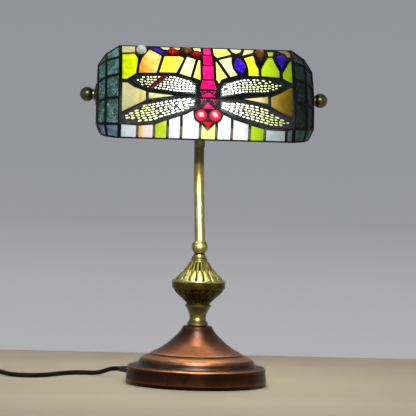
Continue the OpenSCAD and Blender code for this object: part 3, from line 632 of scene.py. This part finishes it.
def amber_tints(p, base, light):
    """Pale smoky amber on the left, dark gold on the right, and greyer in the upper right corner."""
    x = p.front_x()
    corner = p.between(p.height(), SHADE_Z + 0.09, SHADE_Z + 0.08, 0.3, 1.0)
    right = p.times(p.between(x, 0.06, 0.085), corner)
    grain = p.between(p.noise(16, 4, 0.6, stretch=(1, 1, 0.3), turn=(0, 0.4, 0)), 0.4, 0.62)
    pale = p.between(x, -0.07, -0.092, 0.0, 0.4)
    light = p.mix(pale, light, (0.62, 0.64, 0.40))
    gold = p.mix(grain, (0.20, 0.13, 0.004), (0.62, 0.42, 0.02))
    dull = p.mix(grain, (0.07, 0.045, 0.002), (0.2, 0.13, 0.006))
    return p.tint(right, base, light, dull, gold)


def shade_glass():
    give(glass("lime_glass", ((0.12, 0.18, 0.0), (0.2, 0.27, 0.0), (0.26, 0.33, 0.01)),
               ((0.30, 0.44, 0.0), (0.60, 0.72, 0.0), (0.80, 0.86, 0.01)),
               power=2.6, wash=0.1, shine=0.04, touch=lime_tints), "glass_lime")
    give(glass("yellow_glass", ((0.3, 0.22, 0.0), (0.34, 0.32, 0.0), (0.36, 0.36, 0.03)),
               ((0.95, 0.60, 0.0), (0.92, 0.88, 0.01), (0.97, 0.97, 0.12)),
               power=1.8, wash=0.05, touch=yellow_tints), "glass_yellow")
    give(glass("cream_glass", ((0.18, 0.13, 0.04), (0.22, 0.2, 0.07), (0.24, 0.23, 0.14)),
               ((0.56, 0.40, 0.13), (0.84, 0.82, 0.30), (0.98, 0.94, 0.60)),
               power=1.6, wash=0.05), "glass_cream")
    give(glass("streaky_glass", ((0.3, 0.05, 0.0), (0.3, 0.16, 0.03), (0.3, 0.27, 0.12)),
               ((0.95, 0.18, 0.0), (0.92, 0.54, 0.03), (0.90, 0.80, 0.20)),
               power=1.7, streak=1.7, turn=0.6, wash=0.1, grain=24), "glass_streaky")
    give(glass("amber_glass", ((0.14, 0.10, 0.02), (0.18, 0.15, 0.05), (0.2, 0.19, 0.10)),
               ((0.50, 0.38, 0.10), (0.70, 0.66, 0.22), (0.86, 0.84, 0.44)),
               power=2.05, wash=0.1, shine=0.02, touch=amber_tints), "glass_amber")
    give(glass("white_glass", ((0.18, 0.21, 0.22), (0.25, 0.26, 0.26), (0.29, 0.28, 0.25)),
               ((0.52, 0.66, 0.75), (0.84, 0.89, 0.90), (1.0, 0.93, 0.82)),
               power=1.8, touch=skirt_tints), "glass_skirt")
    give(glass("wing_glass", ((0.4, 0.46, 0.2), (0.5, 0.55, 0.36), (0.56, 0.6, 0.5)),
               ((0.92, 0.95, 0.6), (0.98, 1.0, 0.8), (1.0, 0.98, 0.92)),
               power=3.4, streak=0.9, wash=0.8, touch=wing_tints), "glass_wings")
    give(glass("red_glass", ((0.26, 0.0, 0.03), (0.36, 0.0, 0.05), (0.42, 0.01, 0.08)),
               ((0.55, 0.0, 0.05), (0.88, 0.0, 0.13), (1.0, 0.03, 0.22)),
               power=1.5, wash=0.0, touch=body_tints), "glass_body")
    give(glass("navy_glass", ((0.005, 0.005, 0.06), (0.01, 0.01, 0.14), (0.03, 0.02, 0.25)),
               ((0.01, 0.005, 0.14), (0.03, 0.01, 0.3), (0.05, 0.02, 0.5)),
               power=0.9, wash=0.0), "glass_navy")
    # the two ends are lit and shaded copies: the right end's is painted darker, as shade behind the socket
    give(teal_glass("teal_left", 1.0, (0.045, 0.060, 0.125), 0.5), "glass_teal_left")
    give(teal_glass("teal_right", 0.25, (0.030, 0.095, 0.060), 4.0), "glass_teal_right")
    for name in NODES:
        if name.startswith("glass_"):
            rounded(name, 0.0004, 2)


def shade_jewels():
    domes = {
        "red": jewel_glass("red_jewel", (0.14, 0.0, 0.002), (0.62, 0.0, 0.01), (0.9, 0.06, 0.03), 1.0,
                           eyes=((0.9, 0.005, 0.05), (1.0, 0.62, 0.5))),
        "amber": jewel_glass("amber_jewel", (0.03, 0.007, 0.001), (0.34, 0.10, 0.004), (0.75, 0.34, 0.03),
                             1.1),
        "blue": jewel_glass("blue_jewel", (0.004, 0.0, 0.06), (0.05, 0.0, 0.8), (0.12, 0.02, 1.0), 2.2),
        "clear": jewel_glass("clear_jewel", (0.16, 0.18, 0.15), (0.7, 0.74, 0.66), (1.0, 1.0, 0.93), 1.6)}
    for colour, paint in domes.items():
        cabochons("jewels_" + colour, paint)


def solder():
    """Tin-lead solder beads under a black patina, with a few rubbed spots. The lit skirt's glare lies on its
    thin upright bars."""
    p = Paint("solder", Metallic=0.3, Specular_IOR_Level=0.2)
    wear = p.between(p.noise(70, 5, 0.65), 0.62, 0.8)
    p.to("Base Color", p.mix(wear, (0.004, 0.004, 0.005), (0.035, 0.035, 0.037)))
    p.rough(160, 3, 0.28, 0.5)
    p.bump(p.plus(p.noise(110, 3), p.times(p.noise(36, 1), 0.8)), 0.4, 0.001)
    x, _, z = p.xyz()
    bars = p.strip(z, SHADE_Z + 0.003, SKIRT_TOP - 0.0015, 0.002)
    across = p.between(p.math("ABSOLUTE", x), 0.10, 0.075)
    p.shine(p.ramp(p.noise(90, 2), (0.35, (0.32, 0.26, 0.17)), (0.65, (0.5, 0.46, 0.38))),
            p.times(bars, across, p.times(p.glow(), 0.8)))
    return p


def filigree():
    """Blue-black etched brass that the glare beside the body turns grey-green."""
    p = Paint("filigree", Metallic=0.4, Specular_IOR_Level=0.25)
    p.to("Base Color", p.ramp(p.noise(60, 4, 0.6), (0.3, (0.003, 0.003, 0.006)),
                              (0.55, (0.010, 0.012, 0.024)), (0.8, (0.04, 0.045, 0.08))))
    p.rough(140, 3, 0.3, 0.5)
    p.bump(p.noise(260, 2), 0.3, 0.0004)
    from_body = p.math("ABSOLUTE", p.minus(p.front_x(), 0.001))
    near = p.between(from_body, 0.014, 0.036, 1.0, 0.0)
    outside = p.between(from_body, 0.011, 0.014)
    p.shine(p.ramp(p.noise(80, 2), (0.3, (0.10, 0.13, 0.10)), (0.7, (0.16, 0.19, 0.16))),
            p.times(near, outside))
    return p


shade_glass()
shade_jewels()
solder_paint = solder()
for side in ("front", "back", "left", "right"):
    give(solder_paint, "came_" + side)
    rounded("came_" + side, 0.0013, 4)
filigree_paint = filigree()

# ---- pierced plates

PLATE_T = 0.0007
# a plate reaches this far past the edge of its pane
PLATE_LAP = 0.0006
# the gap between a plate and its pane
PLATE_GAP = 0.00002
# distances in front of the shade's middle: well outside the shade, and near its glass
OUTSIDE = 0.3
NEAR_GLASS = 0.07


def panes_of(name):
    """The panes of a node: for each, its side (-1 front, 1 back), its outward faces as a tree, and their
    outline in front view: metres to the right as seen from outside, and height."""
    bm = welded(name)
    found = []
    for pane in connected(bm.faces, lambda f: [g for e in f.edges for g in e.link_faces]):
        side = -1 if sum(f.calc_center_median().y for f in pane) < 0 else 1
        out = [f for f in pane if f.normal.y * side > 0.35]
        kept = set(out)
        rim = {}
        for f in out:
            for loop in f.loops:
                if sum(g in kept for g in loop.edge.link_faces) == 1:
                    rim[loop.vert] = loop.link_loop_next.vert
        v = next(iter(rim))
        outline = []
        while v in rim:
            outline.append((-side * v.co.x, v.co.z))
            v = rim.pop(v)
        corners = [[v.index for v in f.verts] for f in out]
        found.append((side, BVHTree.FromPolygons([v.co.copy() for v in bm.verts], corners), outline))
    bm.free()
    return sorted(found, key=lambda f: (f[0], min(f[2])))


def grown(outline, by):
    """The outline moved outwards by a distance, whichever way round it runs."""
    area = sum(a[0] * b[1] - b[0] * a[1] for a, b in zip(outline, outline[1:] + outline[:1]))
    way = 1 if area > 0 else -1
    n = len(outline)
    out = []
    for i in range(n):
        a, b, c = (Vector(outline[(i + k) % n]) for k in (-1, 0, 1))
        along, onward = (b - a).normalized(), (c - b).normalized()
        bend = along + onward
        outward = Vector((bend.y, -bend.x)).normalized() * way
        lean = outward.dot(Vector((along.y, -along.x)) * way)
        # a sharp corner moves by at most 2.5 times the distance
        out.append(tuple(b + outward * by / max(lean, 0.4)))
    return out


def crossings(outline, s):
    """The lowest and highest t at which the outline crosses the line s, or None."""
    hits = []
    for (s1, t1), (s2, t2) in zip(outline, outline[1:] + outline[:1]):
        if (s1 - s) * (s2 - s) < 0:
            hits.append(t1 + (t2 - t1) * (s - s1) / (s2 - s1))
    return (min(hits), max(hits)) if len(hits) > 1 else None


def grain_hole(s, t, half_long, half_high, turn):
    """A hole like a grain of rice."""
    points = []
    for k in range(10):
        a = 2 * math.pi * k / 10
        u = math.copysign(abs(math.cos(a)) ** 0.75, math.cos(a)) * half_long
        v = math.copysign(abs(math.sin(a)) ** 0.8, math.sin(a)) * half_high
        points.append((s + u * math.cos(turn) - v * math.sin(turn),
                       t + u * math.sin(turn) + v * math.cos(turn)))
    return points


def wing_holes(outline):
    """Lanes of grain-shaped holes that follow the wing's two long edges and nearly merge beside the body."""
    upper = max(p[1] for p in outline) > SHADE_Z + 0.06
    right = sum(p[0] for p in outline) > 0
    root = min(outline, key=lambda p: abs(p[0]))
    near = [p for p in outline if abs(p[0] - root[0]) < 4 * MM]
    foot = Vector((root[0], sum(p[1] for p in near) / len(near)))
    tip = Vector(max(outline, key=lambda p: abs(p[0])))
    along = (tip - foot).normalized()
    across = Vector((-along.y, along.x)) * (1 if along.x > 0 else -1)
    local = [((Vector(p) - foot).dot(along), (Vector(p) - foot).dot(across)) for p in outline]
    length = max(p[0] for p in local)
    rim_low = (2.4 if right and not upper else 1.2) * MM
    rim_high = 1.2 * MM
    placed = []
    s = 1.2 * MM
    while s < length - 1.6 * MM:
        s += 0.35 * MM
        # core falls from 1 beside the body to 0 at 32 mm, and web is the metal left between two holes
        core = min(max(1.35 - s / (24 * MM), 0), 1)
        web = (0.85 - 0.5 * core) * MM
        span = crossings(local, s)
        if span is None:
            continue
        low, high = span[0] + rim_low, span[1] - rim_high
        lanes = max(1, round((high - low) / (2.9 * MM)))
        pitch = (high - low) / lanes
        for lane in range(lanes):
            long = (random.uniform(2.4, 4.0) if upper else random.uniform(3.2, 5.8)) * MM
            tall = min(pitch - web, 2.5 * MM) * random.uniform(0.82, 1.0)
            mid = s + long / 2
            t = low + pitch * (lane + 0.5) + random.uniform(-0.16, 0.16) * MM
            ends = [crossings(local, mid + k * long / 2) for k in (-1, 0, 1)]
            if tall < 0.7 * MM or None in ends:
                continue
            clear = all(lo + rim_low * 0.8 < t - tall / 2 and t + tall / 2 < hi - rim_high * 0.8
                        for lo, hi in ends)
            free = all(abs(mid - m) > (long + g) / 2 + web or abs(t - u) > (tall + h) / 2 + web * 0.9
                       for m, u, g, h, _ in placed)
            if not clear or not free or random.random() < 0.1 * (1 - core):
                continue
            slope = (sum(ends[2]) - sum(ends[0])) / (2 * long)
            stray = random.uniform(-0.2, 0.2) * (1.0 if upper else 0.3) * (1 - core)
            placed.append((mid, t, long, tall, math.atan(slope) + stray))
    return [[tuple(foot + along * a + across * b) for a, b in grain_hole(m, t, g / 2, h / 2, tilt)]
            for m, t, g, h, tilt in placed]


def plate_mesh(bm, side, tree, outline, holes):
    """Adds a pierced plate to bm, laid on a pane's outer face."""
    curve = bpy.data.curves.new("plate", "CURVE")
    curve.dimensions = "2D"
    curve.fill_mode = "BOTH"
    curve.extrude = PLATE_T / 2
    for loop in [grown(outline, PLATE_LAP)] + holes:
        spline = curve.splines.new("POLY")
        spline.points.add(len(loop) - 1)
        for point, (u, v) in zip(spline.points, loop):
            point.co = (u, v, 0, 1)
        spline.use_cyclic_u = True
    shape = bpy.data.objects.new("plate", curve)
    mesh = bpy.data.meshes.new_from_object(shape)
    part = bmesh.new()
    part.from_mesh(mesh)
    bmesh.ops.remove_doubles(part, verts=part.verts, dist=1e-6)
    for z in FOLDS:
        bmesh.ops.bisect_plane(part, geom=part.verts[:] + part.edges[:] + part.faces[:], dist=1e-7,
                               plane_co=(0, z, 0), plane_no=(0, 1, 0))
    for v in part.verts:
        x, z, rise = v.co.x * -side, v.co.y, v.co.z
        hit, normal, _, _ = tree.ray_cast(Vector((x, side * OUTSIDE, z)), Vector((0, -side, 0)))
        if hit is None:
            # past the pane's edge, on the plane that the pane lies in
            hit, normal, _, _ = tree.find_nearest(Vector((x, side * NEAR_GLASS, z)))
            hit, normal, _, _ = tree.find_nearest(Vector((x, hit.y, z)))
            off = Vector((x, hit.y, z)) - hit
            hit = Vector((x, hit.y - (off.x * normal.x + off.z * normal.z) / normal.y, z))
        v.co = hit + normal * (rise + PLATE_T / 2 + PLATE_GAP)
    done = mesh_of("plate", part)
    bm.from_mesh(done)
    for data in (done, mesh):
        bpy.data.meshes.remove(data)
    bpy.data.objects.remove(shape)
    bpy.data.curves.remove(curve)


def thorax_holes(outline):
    """A low triangular window with small round holes round it; none for the body's other panes."""
    low, high = min(p[1] for p in outline), max(p[1] for p in outline)
    if abs(low - THORAX_FOOT) > MM:
        return []
    pitch = 2.3 * MM
    margin = 1.2 * MM
    mid = 0.5 * (min(p[0] for p in outline) + max(p[0] for p in outline))
    sill, peak, half = high - 7.6 * MM, high - 1.9 * MM, 8.4 * MM
    window = [(mid - half, sill), (mid + half, sill), (mid + half - 1.2 * MM, sill + 1.3 * MM), (mid, peak),
              (mid - half + 1.2 * MM, sill + 1.3 * MM)]
    holes = [window]
    for row in range(9):
        z = low + 1.9 * MM + row * pitch
        for k in range(-5, 6):
            x = mid + (k + 0.5 * (row % 2)) * pitch + random.uniform(-0.2, 0.2) * MM
            r = random.uniform(0.88, 1.04) * MM
            roof = peak - (peak - sill) * abs(x - mid) / half
            spans = [crossings(outline, x + dx) for dx in (-margin, 0, margin)]
            if None in spans or any(z - margin < lo or z + margin > hi for lo, hi in spans):
                continue
            if sill - 1.2 * MM < z < roof + 1.6 * MM and abs(x - mid) < half + 0.9 * MM:
                continue
            holes.append([(x + r * math.cos(a), z + r * math.sin(a))
                          for a in (math.radians(45 * q + 10) for q in range(8))])
    return holes


def plates(name, node, holes_of, replaces=()):
    """A pierced plate on each pane of a node for which holes_of(outline) gives holes."""
    bm = bmesh.new()
    for side, tree, outline in panes_of(node):
        holes = holes_of(outline)
        if holes:
            plate_mesh(bm, side, tree, outline, holes)
    shade_piece(name, bm, filigree_paint, replaces)


plates("wing_plates", "glass_wings", wing_holes, ["wing_filigree"])
plates("thorax_plates", "glass_body", thorax_holes)

# ---- metal


def brass(name):
    """Antique brass: yellow-olive where it is rubbed and on the raised crowns, which also carry a painted
    highlight; near black in the recesses, as patina and painted shade.
    """
    p = Paint(name, Metallic=1.0)
    cloud = p.minus(p.noise(45, 5, 0.6), 0.5)
    share = p.plus(p.times(p.attribute("wear_and_sheen"), 0.95), p.times(cloud, 0.4), clamp=True)
    p.to("Base Color", p.ramp(share, (0.0, (0.008, 0.006, 0.002)), (0.3, (0.10, 0.078, 0.014)),
                              (0.65, (0.31, 0.28, 0.08)), (1.0, (0.56, 0.54, 0.24))))
    p.rough(120, 4, 0.28, 0.38)
    p.bump(p.noise(260, 4), 0.08, 0.0003)
    return p


def plain_brass(name, dark, bright, rough, fade=None, grooves=()):
    """Smooth antique brass. fade gives two heights between which it darkens towards the upper one, as painted
    shade; and grooves the lowest and highest point of each blackened groove."""
    p = Paint(name, Metallic=1.0, Coat_Weight=1.0, Coat_Roughness=0.3)
    share = p.between(p.noise(28, 3, 0.5), 0.3, 0.7, dark, bright)
    for low, high in grooves:
        share = p.times(share, p.minus(1.0, p.strip(p.height(), low, high, 0.0004)))
    # painted shade: darker towards the upper of the fade's heights
    if fade:
        share = p.times(share, p.between(p.height(), *fade, 1.0, 0.3))
    p.to("Base Color", p.ramp(share, (0.0, (0.012, 0.010, 0.002)), (0.4, (0.12, 0.10, 0.014)),
                              (0.75, (0.38, 0.35, 0.06)), (1.0, (0.62, 0.58, 0.15))))
    p.rough(140, 4, rough - 0.05, rough + 0.05)
    p.bump(p.noise(200, 3), 0.05, 0.0003)
    return p


# how bare the base's copper is at each height, as shares of BASE_HIGH, with painted shade and highlight
BASE_HIGH = 0.08
# painted shade: black along the foot and dark on the upright wall; the raised bands are partly painted
# highlight
BARE_AND_SHADE = [(0.0, 0.0), (0.04, 0.0), (0.055, 0.34), (0.10, 0.17), (0.20, 0.08), (0.245, 0.13), (0.257, 0.6),
        (0.270, 0.5), (0.277, 0.08), (0.33, 0.1), (0.37, 0.3), (0.405, 0.62), (0.432, 0.5), (0.444, 0.05),
        (0.455, 0.05), (0.462, 0.7), (0.485, 0.42), (0.62, 0.4), (0.70, 0.24), (0.80, 0.12), (0.85, 0.3),
        (0.88, 0.2)]
# the lacquer shines above the base's upright wall only
WALL_TOP = 0.0225


def copper():
    """Copper under a brown patina that is rubbed through on the raised bands, which also hold a painted
    highlight; painted shade makes it black along the foot and dark on the upright wall.
    """
    p = Paint("copper_patina", Specular_IOR_Level=0.2, Coat_Roughness=0.4)
    z = p.height()
    p.to("Coat Weight", p.between(z, WALL_TOP - 0.0015, WALL_TOP + 0.0015, 0.02, 0.4))
    level = p.plus(z, p.times(p.minus(p.noise(30, 3), 0.5), 0.0012))
    band = p.ramp(p.times(level, 1 / BASE_HIGH), *[(at, (tone, tone, tone)) for at, tone in BARE_AND_SHADE])
    cloud = p.minus(p.noise(40, 4, 0.6, stretch=(1, 1, 0.3)), 0.5)
    fine = p.minus(p.noise(180, 3, 0.6), 0.5)
    share = p.plus(band, p.plus(p.times(cloud, 0.3), p.times(fine, 0.14)), clamp=True)
    p.to("Base Color", p.ramp(share, (0.0, (0.004, 0.003, 0.002)), (0.12, (0.030, 0.010, 0.004)),
                              (0.35, (0.15, 0.048, 0.015)), (0.7, (0.46, 0.18, 0.052)),
                              (1.0, (0.85, 0.44, 0.15))))
    p.to("Metallic", p.between(share, 0.05, 0.3, 0.7, 1.0))
    p.rough(150, 4, 0.32, 0.4)
    p.bump(p.noise(300, 3), 0.04, 0.0003)
    return p


CAP_LOBES = 18
BOWL_LOBES = 20


def dome(x):
    return math.sqrt(max(0.0, 1 - x * x))


def lobe_place(angle, count, shift):
    """Where an angle lies across its lobe, from -0.5 to 0.5."""
    return (angle / (2 * math.pi) * count + shift) % 1 - 0.5


def urn_line(foot, points):
    """Points in millimetres above the foot, in metres."""
    return [(r * MM, foot + z * MM) for r, z in points]


def urn_cap_mesh():
    """Two rows of cast petals between the lip ring and the neck."""
    low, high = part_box("urn_cap")
    foot, crown = low.z, high.z
    outer = eased([(27.6, 0), (27.3, 1.2), (25.2, 4.4), (21.6, 8.0), (18.2, 11.2), (15.2, 14.6), (13.0, 18.0),
                   (11.4, 20.6), (10.3, 21.7), (9.3, 22.9)], 4)
    inner = [(8.2 * MM, crown), (9.8 * MM, crown - 3 * MM), (13 * MM, crown - 9 * MM)]
    inner += urn_line(foot, [(21, 4.4), (25, 0)])

    def petals(r, z, a):
        u = (z - foot) / (crown - foot)
        if u > 0.95 or (r, z) in inner:
            return r, 0.75
        across = lobe_place(a, CAP_LOBES, 0)
        wide = 0.48 * dome(max(0, (u - 0.35) / 0.18))
        covered = abs(across) < wide + (0.07 if u < 0.55 else 0)
        first = dome(across / wide) ** 0.5 if wide > 0.02 and abs(across) < wide else 0
        dot = math.hypot((0.5 - abs(across)) / 0.17, (u - 0.07) / 0.055)
        across = lobe_place(a, CAP_LOBES, 0.5)
        wide = 0.38 * dome(min(1, max(0, (0.40 - u) / 0.14))) * dome(max(0, (u - 0.78) / 0.18))
        shown = u > 0.26 and wide > 0.02 and abs(across) < wide and not covered
        high = max(first, 0.85 * dome(across / wide) if shown else 0)
        # the second value is light on the petals' crowns, as wear and a painted highlight, and dark in the
        # dimples
        return (r + (-0.8 + 1.8 * high - 0.9 * max(0, 1 - dot)) * MM * (1.0 if u < 0.7 else 0.8),
                (0.03 + 0.97 * high ** 2) * min(1, dot ** 2))

    return turned_mesh("urn_cap_cast", urn_line(foot, outer) + inner, CAP_LOBES * 14, petals)


def urn_bowl_mesh():
    """The dark bowl: gadroons with beads at their feet, under a plain band and a thin lip ring."""
    low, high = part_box("urn_bowl")
    foot, crown = low.z, high.z
    rise = eased([(13.2, 0), (14.0, 0.5), (14.0, 1.7), (14.8, 2.6), (16.6, 4.3), (18.6, 6.3), (20.8, 8.3),
                  (23.2, 10.3), (25.4, 12.3), (27.1, 14.4), (28.3, 16.3), (29.2, 17.6), (29.7, 18.2)], 3)
    lip = [(30.4, 18.2), (31.2, 19), (31.6, 20.6), (31.7, 25.2), (31.5, 25.7), (31.8, 26.2), (32.0, 27),
           (31.9, 28), (31.4, 28.6), (30.2, 28.9)]
    inner = [(26.6 * MM, crown), (26.6 * MM, crown - 8 * MM)]
    inner += urn_line(foot, [(18, 10), (13, 5.2), (5.2, 2.8), (5.2, 0)])

    def gadroons(r, z, a):
        up = (z - foot) / MM
        if (r, z) in inner or up < 1.8:
            return r, 0.25
        # the plain band stays dark and the lip ring's top is bright: wear and a painted highlight
        if up > 17.7:
            return r, 0.28 if up < 26.4 else 0.95
        u = (up - 1.8) / 15.9
        across = lobe_place(a, BOWL_LOBES, 0)
        wide = 0.47 * dome(max(0, (u - 0.68) / 0.31))
        high = dome(across / wide) ** 0.7 if wide > 0.02 and abs(across) < wide else 0
        bead = dome(min(1, math.hypot(across / 0.36, (u - 0.07) / 0.10)))
        rib = high if u > 0.19 else 0
        # the ribs lighten on their crowns and towards the top, as do the beads at the foot: wear and a
        # painted highlight
        return r + (-1.0 + 1.6 * max(rib, bead)) * MM, 0.03 + 0.27 * rib * min(1, u / 0.6) + 0.4 * bead

    outer = urn_line(foot, [*rise, *lip])
    return turned_mesh("urn_bowl_cast", outer + inner, BOWL_LOBES * 12, gadroons)


def simple(name, low, high, scale, metallic, rough_low, rough_high, bump=0.15):
    p = Paint(name, Metallic=metallic)
    p.to("Base Color", p.ramp(p.noise(scale, 4), (0.3, low), (0.7, high)))
    p.rough(scale * 2.3, 4, rough_low, rough_high)
    p.bump(p.noise(scale * 4, 3), bump, 0.0004)
    return p


give(copper(), "base_shell", "base_cone")
stem_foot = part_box("stem_tube")[0].z
# painted shade: the post darkens above the line where the lamp shade's shadow falls on it
give(plain_brass("stem_brass_shaded_top", 0.52, 0.64, 0.40, (stem_foot + 0.092, stem_foot + 0.102)), "stem_tube")
# painted shade: the yoke inside the lamp shade is a darker copy of the brass
give(plain_brass("yoke_brass_painted_shade", 0.12, 0.22, 0.4), "yoke")
rings_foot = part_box("neck_rings")[0].z
ball_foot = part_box("neck_ball")[0].z
neck_grooves = [(ball_foot - 0.0012, ball_foot + 0.0010), (rings_foot + 0.0022, rings_foot + 0.0030)]
give(plain_brass("neck_brass", 0.42, 0.66, 0.4, grooves=neck_grooves),
     "neck_ball", "neck_rings", "socket_shell")
# painted shade: the collar under the bowl is a darker copy of the brass
give(plain_brass("collar_brass_painted_shade", 0.27, 0.45, 0.38), "lower_collar")
urn_paint = brass("urn_brass")
urn_cap = piece("urn_cap_cast", urn_cap_mesh(), "stand", urn_paint, ["urn_cap"])
piece("urn_bowl_cast", urn_bowl_mesh(), "stand", urn_paint, ["urn_bowl"])
# painted shade: the knobs and cup washers at the shade's ends are a darker copy of the brass
give(plain_brass("knob_brass_painted_shade", 0.2, 0.42, 0.34),
     "knob_left", "knob_right", "cup_washer_left", "cup_washer_right")
give(simple("iron", (0.03, 0.03, 0.03), (0.08, 0.075, 0.07), 90, 0.6, 0.6, 0.8), "base_weight")
give(simple("zinc", (0.4, 0.4, 0.38), (0.62, 0.62, 0.6), 120, 1.0, 0.25, 0.4),
     "threaded_rod", "base_nut", "stem_nut", "yoke_spacers", "socket_bracket", "knob_left_stud",
     "knob_right_stud")
give(simple("nickel", (0.6, 0.6, 0.58), (0.8, 0.8, 0.78), 120, 1.0, 0.12, 0.25),
     "bulb_cap", "centre_contact", "plug_pins", "screw_shell")
give(simple("phenolic", (0.03, 0.018, 0.01), (0.06, 0.035, 0.02), 150, 0.0, 0.4, 0.55),
     "socket_core", "bulb_tip")
give(simple("felt", (0.008, 0.008, 0.009), (0.02, 0.02, 0.022), 900, 0.0, 0.85, 0.98, 0.8), "felt_pad")
give(simple("black_rubber", (0.010, 0.010, 0.011), (0.02, 0.02, 0.021), 300, 0.0, 0.45, 0.6),
     "strain_relief")
give(simple("black_plastic", (0.011, 0.011, 0.012), (0.02, 0.02, 0.021), 400, 0.0, 0.28, 0.4),
     "switch_case", "switch_rocker", "plug_body")
white = Paint("bulb_white", Roughness=0.3, Base_Color=(1, 0.96, 0.88, 1), Emission_Strength=6.0)
white.to("Emission Color",
         white.ramp(white.noise(20, 1), (0.3, (1.0, 0.93, 0.78)), (0.7, (1.0, 0.96, 0.86))))
give(white, "bulb_glass")
for name in ("base_shell", "base_cone", "lower_collar", "neck_rings", "neck_ball", "stem_tube", "knob_left",
             "knob_right", "cup_washer_left", "cup_washer_right", "socket_shell", "bulb_glass"):
    smooth(NODES[name], 50)
for name in ("yoke", "switch_case", "switch_rocker", "plug_body", "plug_pins", "socket_bracket", "stem_nut",
             "base_nut", "felt_pad", "bulb_cap"):
    rounded(name, 0.0006, 3)

# ---- stage

TABLE_WIDE = 6.0
TABLE_FRONT = 3.0
TABLE_BACK = 0.42
# the room's colour by the sine of the angle above the horizon
ROOM = [(-0.5, (0.20, 0.19, 0.17)), (-0.12, (0.42, 0.42, 0.44)), (-0.08, (0.44, 0.44, 0.46)),
        (-0.055, (0.40, 0.40, 0.42)), (-0.03, (0.31, 0.31, 0.335)), (0.06, (0.29, 0.30, 0.34)),
        (0.2, (0.2, 0.2, 0.22)), (0.5, (0.24, 0.24, 0.25))]


def make_stage():
    """A pale table top whose far edge is behind the lamp. The pale room beyond it is the world."""
    paint = Paint("pale_table", Roughness=0.9, Specular_IOR_Level=0.1)
    paint.to("Base Color", paint.ramp(paint.noise(3, 4, stretch=(1, 4, 1)), (0.3, (0.452, 0.394, 0.302)),
                                      (0.7, (0.512, 0.449, 0.346))))
    bpy.ops.mesh.primitive_plane_add(size=1)
    table = bpy.context.object
    table.name = "table_top"
    table.scale = (TABLE_WIDE, TABLE_FRONT + TABLE_BACK, 1)
    table.location = (0, (TABLE_BACK - TABLE_FRONT) / 2, 0)
    table.data.materials.append(paint.m)


def make_room():
    """The light of a pale room: brightest low down behind the table, dim overhead."""
    world = bpy.data.worlds.new("world")
    world.use_nodes = True
    tree = world.node_tree
    coords = tree.nodes.new("ShaderNodeTexCoord")
    parts = tree.nodes.new("ShaderNodeSeparateXYZ")
    fall = tree.nodes.new("ShaderNodeMapRange")
    ramp = tree.nodes.new("ShaderNodeValToRGB")
    fall.inputs["From Min"].default_value = -0.5
    fall.inputs["From Max"].default_value = 0.5
    while len(ramp.color_ramp.elements) < len(ROOM):
        ramp.color_ramp.elements.new(0.5)
    for e, (rise, colour) in zip(ramp.color_ramp.elements, ROOM):
        e.position = rise + 0.5
        e.color = (*colour, 1)
    tree.links.new(coords.outputs["Generated"], parts.inputs[0])
    tree.links.new(parts.outputs["Z"], fall.inputs["Value"])
    tree.links.new(fall.outputs[0], ramp.inputs[0])
    tree.links.new(ramp.outputs[0], tree.nodes["Background"].inputs[0])
    bpy.context.scene.world = world


def area_light(name, place, aim, size, watts, colour=(1, 1, 1)):
    light = bpy.data.lights.new(name, "AREA")
    light.shape = "DISK"
    light.size = size
    light.energy = watts
    light.color = colour
    o = in_scene(name, light)
    o.location = place
    o.rotation_euler = (Vector(aim) - Vector(place)).to_track_quat("-Z", "Y").to_euler()
    return o


def glint(light, *pieces):
    """The light only shows as a glint, on these pieces of metal."""
    light.visible_diffuse = False
    reach = bpy.data.collections.new(light.name + "_reach")
    for o in pieces:
        reach.objects.link(o)
    light.light_linking.receiver_collection = reach


def bulb_light(name, watts):
    light = bpy.data.lights.new(name, "POINT")
    light.shadow_soft_size = 0.031
    light.energy = watts
    light.color = (1.0, 0.95, 0.8)
    o = in_scene(name, light)
    o.location = BULB
    o.visible_camera = False
    return o


def make_lights():
    area_light("key", (-0.14, -2.25, 1.52), (0, 0, 0.25), 0.7, 36)
    post = [NODES[n] for n in ("stem_tube", "neck_ball", "neck_rings", "lower_collar")]
    base = [NODES[n] for n in ("base_cone", "base_shell")]
    glint(area_light("key_glint", (-0.14, -2.25, 1.16), (0, 0, 0.25), 1.3, 215, (1, 1, 0.96)), *post, urn_cap)
    top = area_light("top_glint", (-0.05, -0.62, 2.4), (0, 0, 0.05), 0.3, 60, (1, 0.97, 0.92))
    glint(top, urn_cap, *base)
    area_light("left", (-2.0, -0.9, 0.9), (0, 0, 0.2), 1.4, 4, (0.95, 0.97, 1))
    area_light("right", (2.0, -0.9, 0.9), (0, 0, 0.2), 1.4, 2.5, (0.95, 0.97, 1))
    back = area_light("back", (0.3, 2.2, 1.5), (0, 0, 0.25), 1.2, 14)
    back.visible_glossy = False
    bulb_light("bulb_light", 3.0)
    glint(bulb_light("bulb_glint", 16.0), *post, *base, urn_cap)
    NODES["bulb_glass"].visible_shadow = False


make_stage()
make_room()
make_lights()
bpy.context.scene.view_settings.view_transform = "Standard"
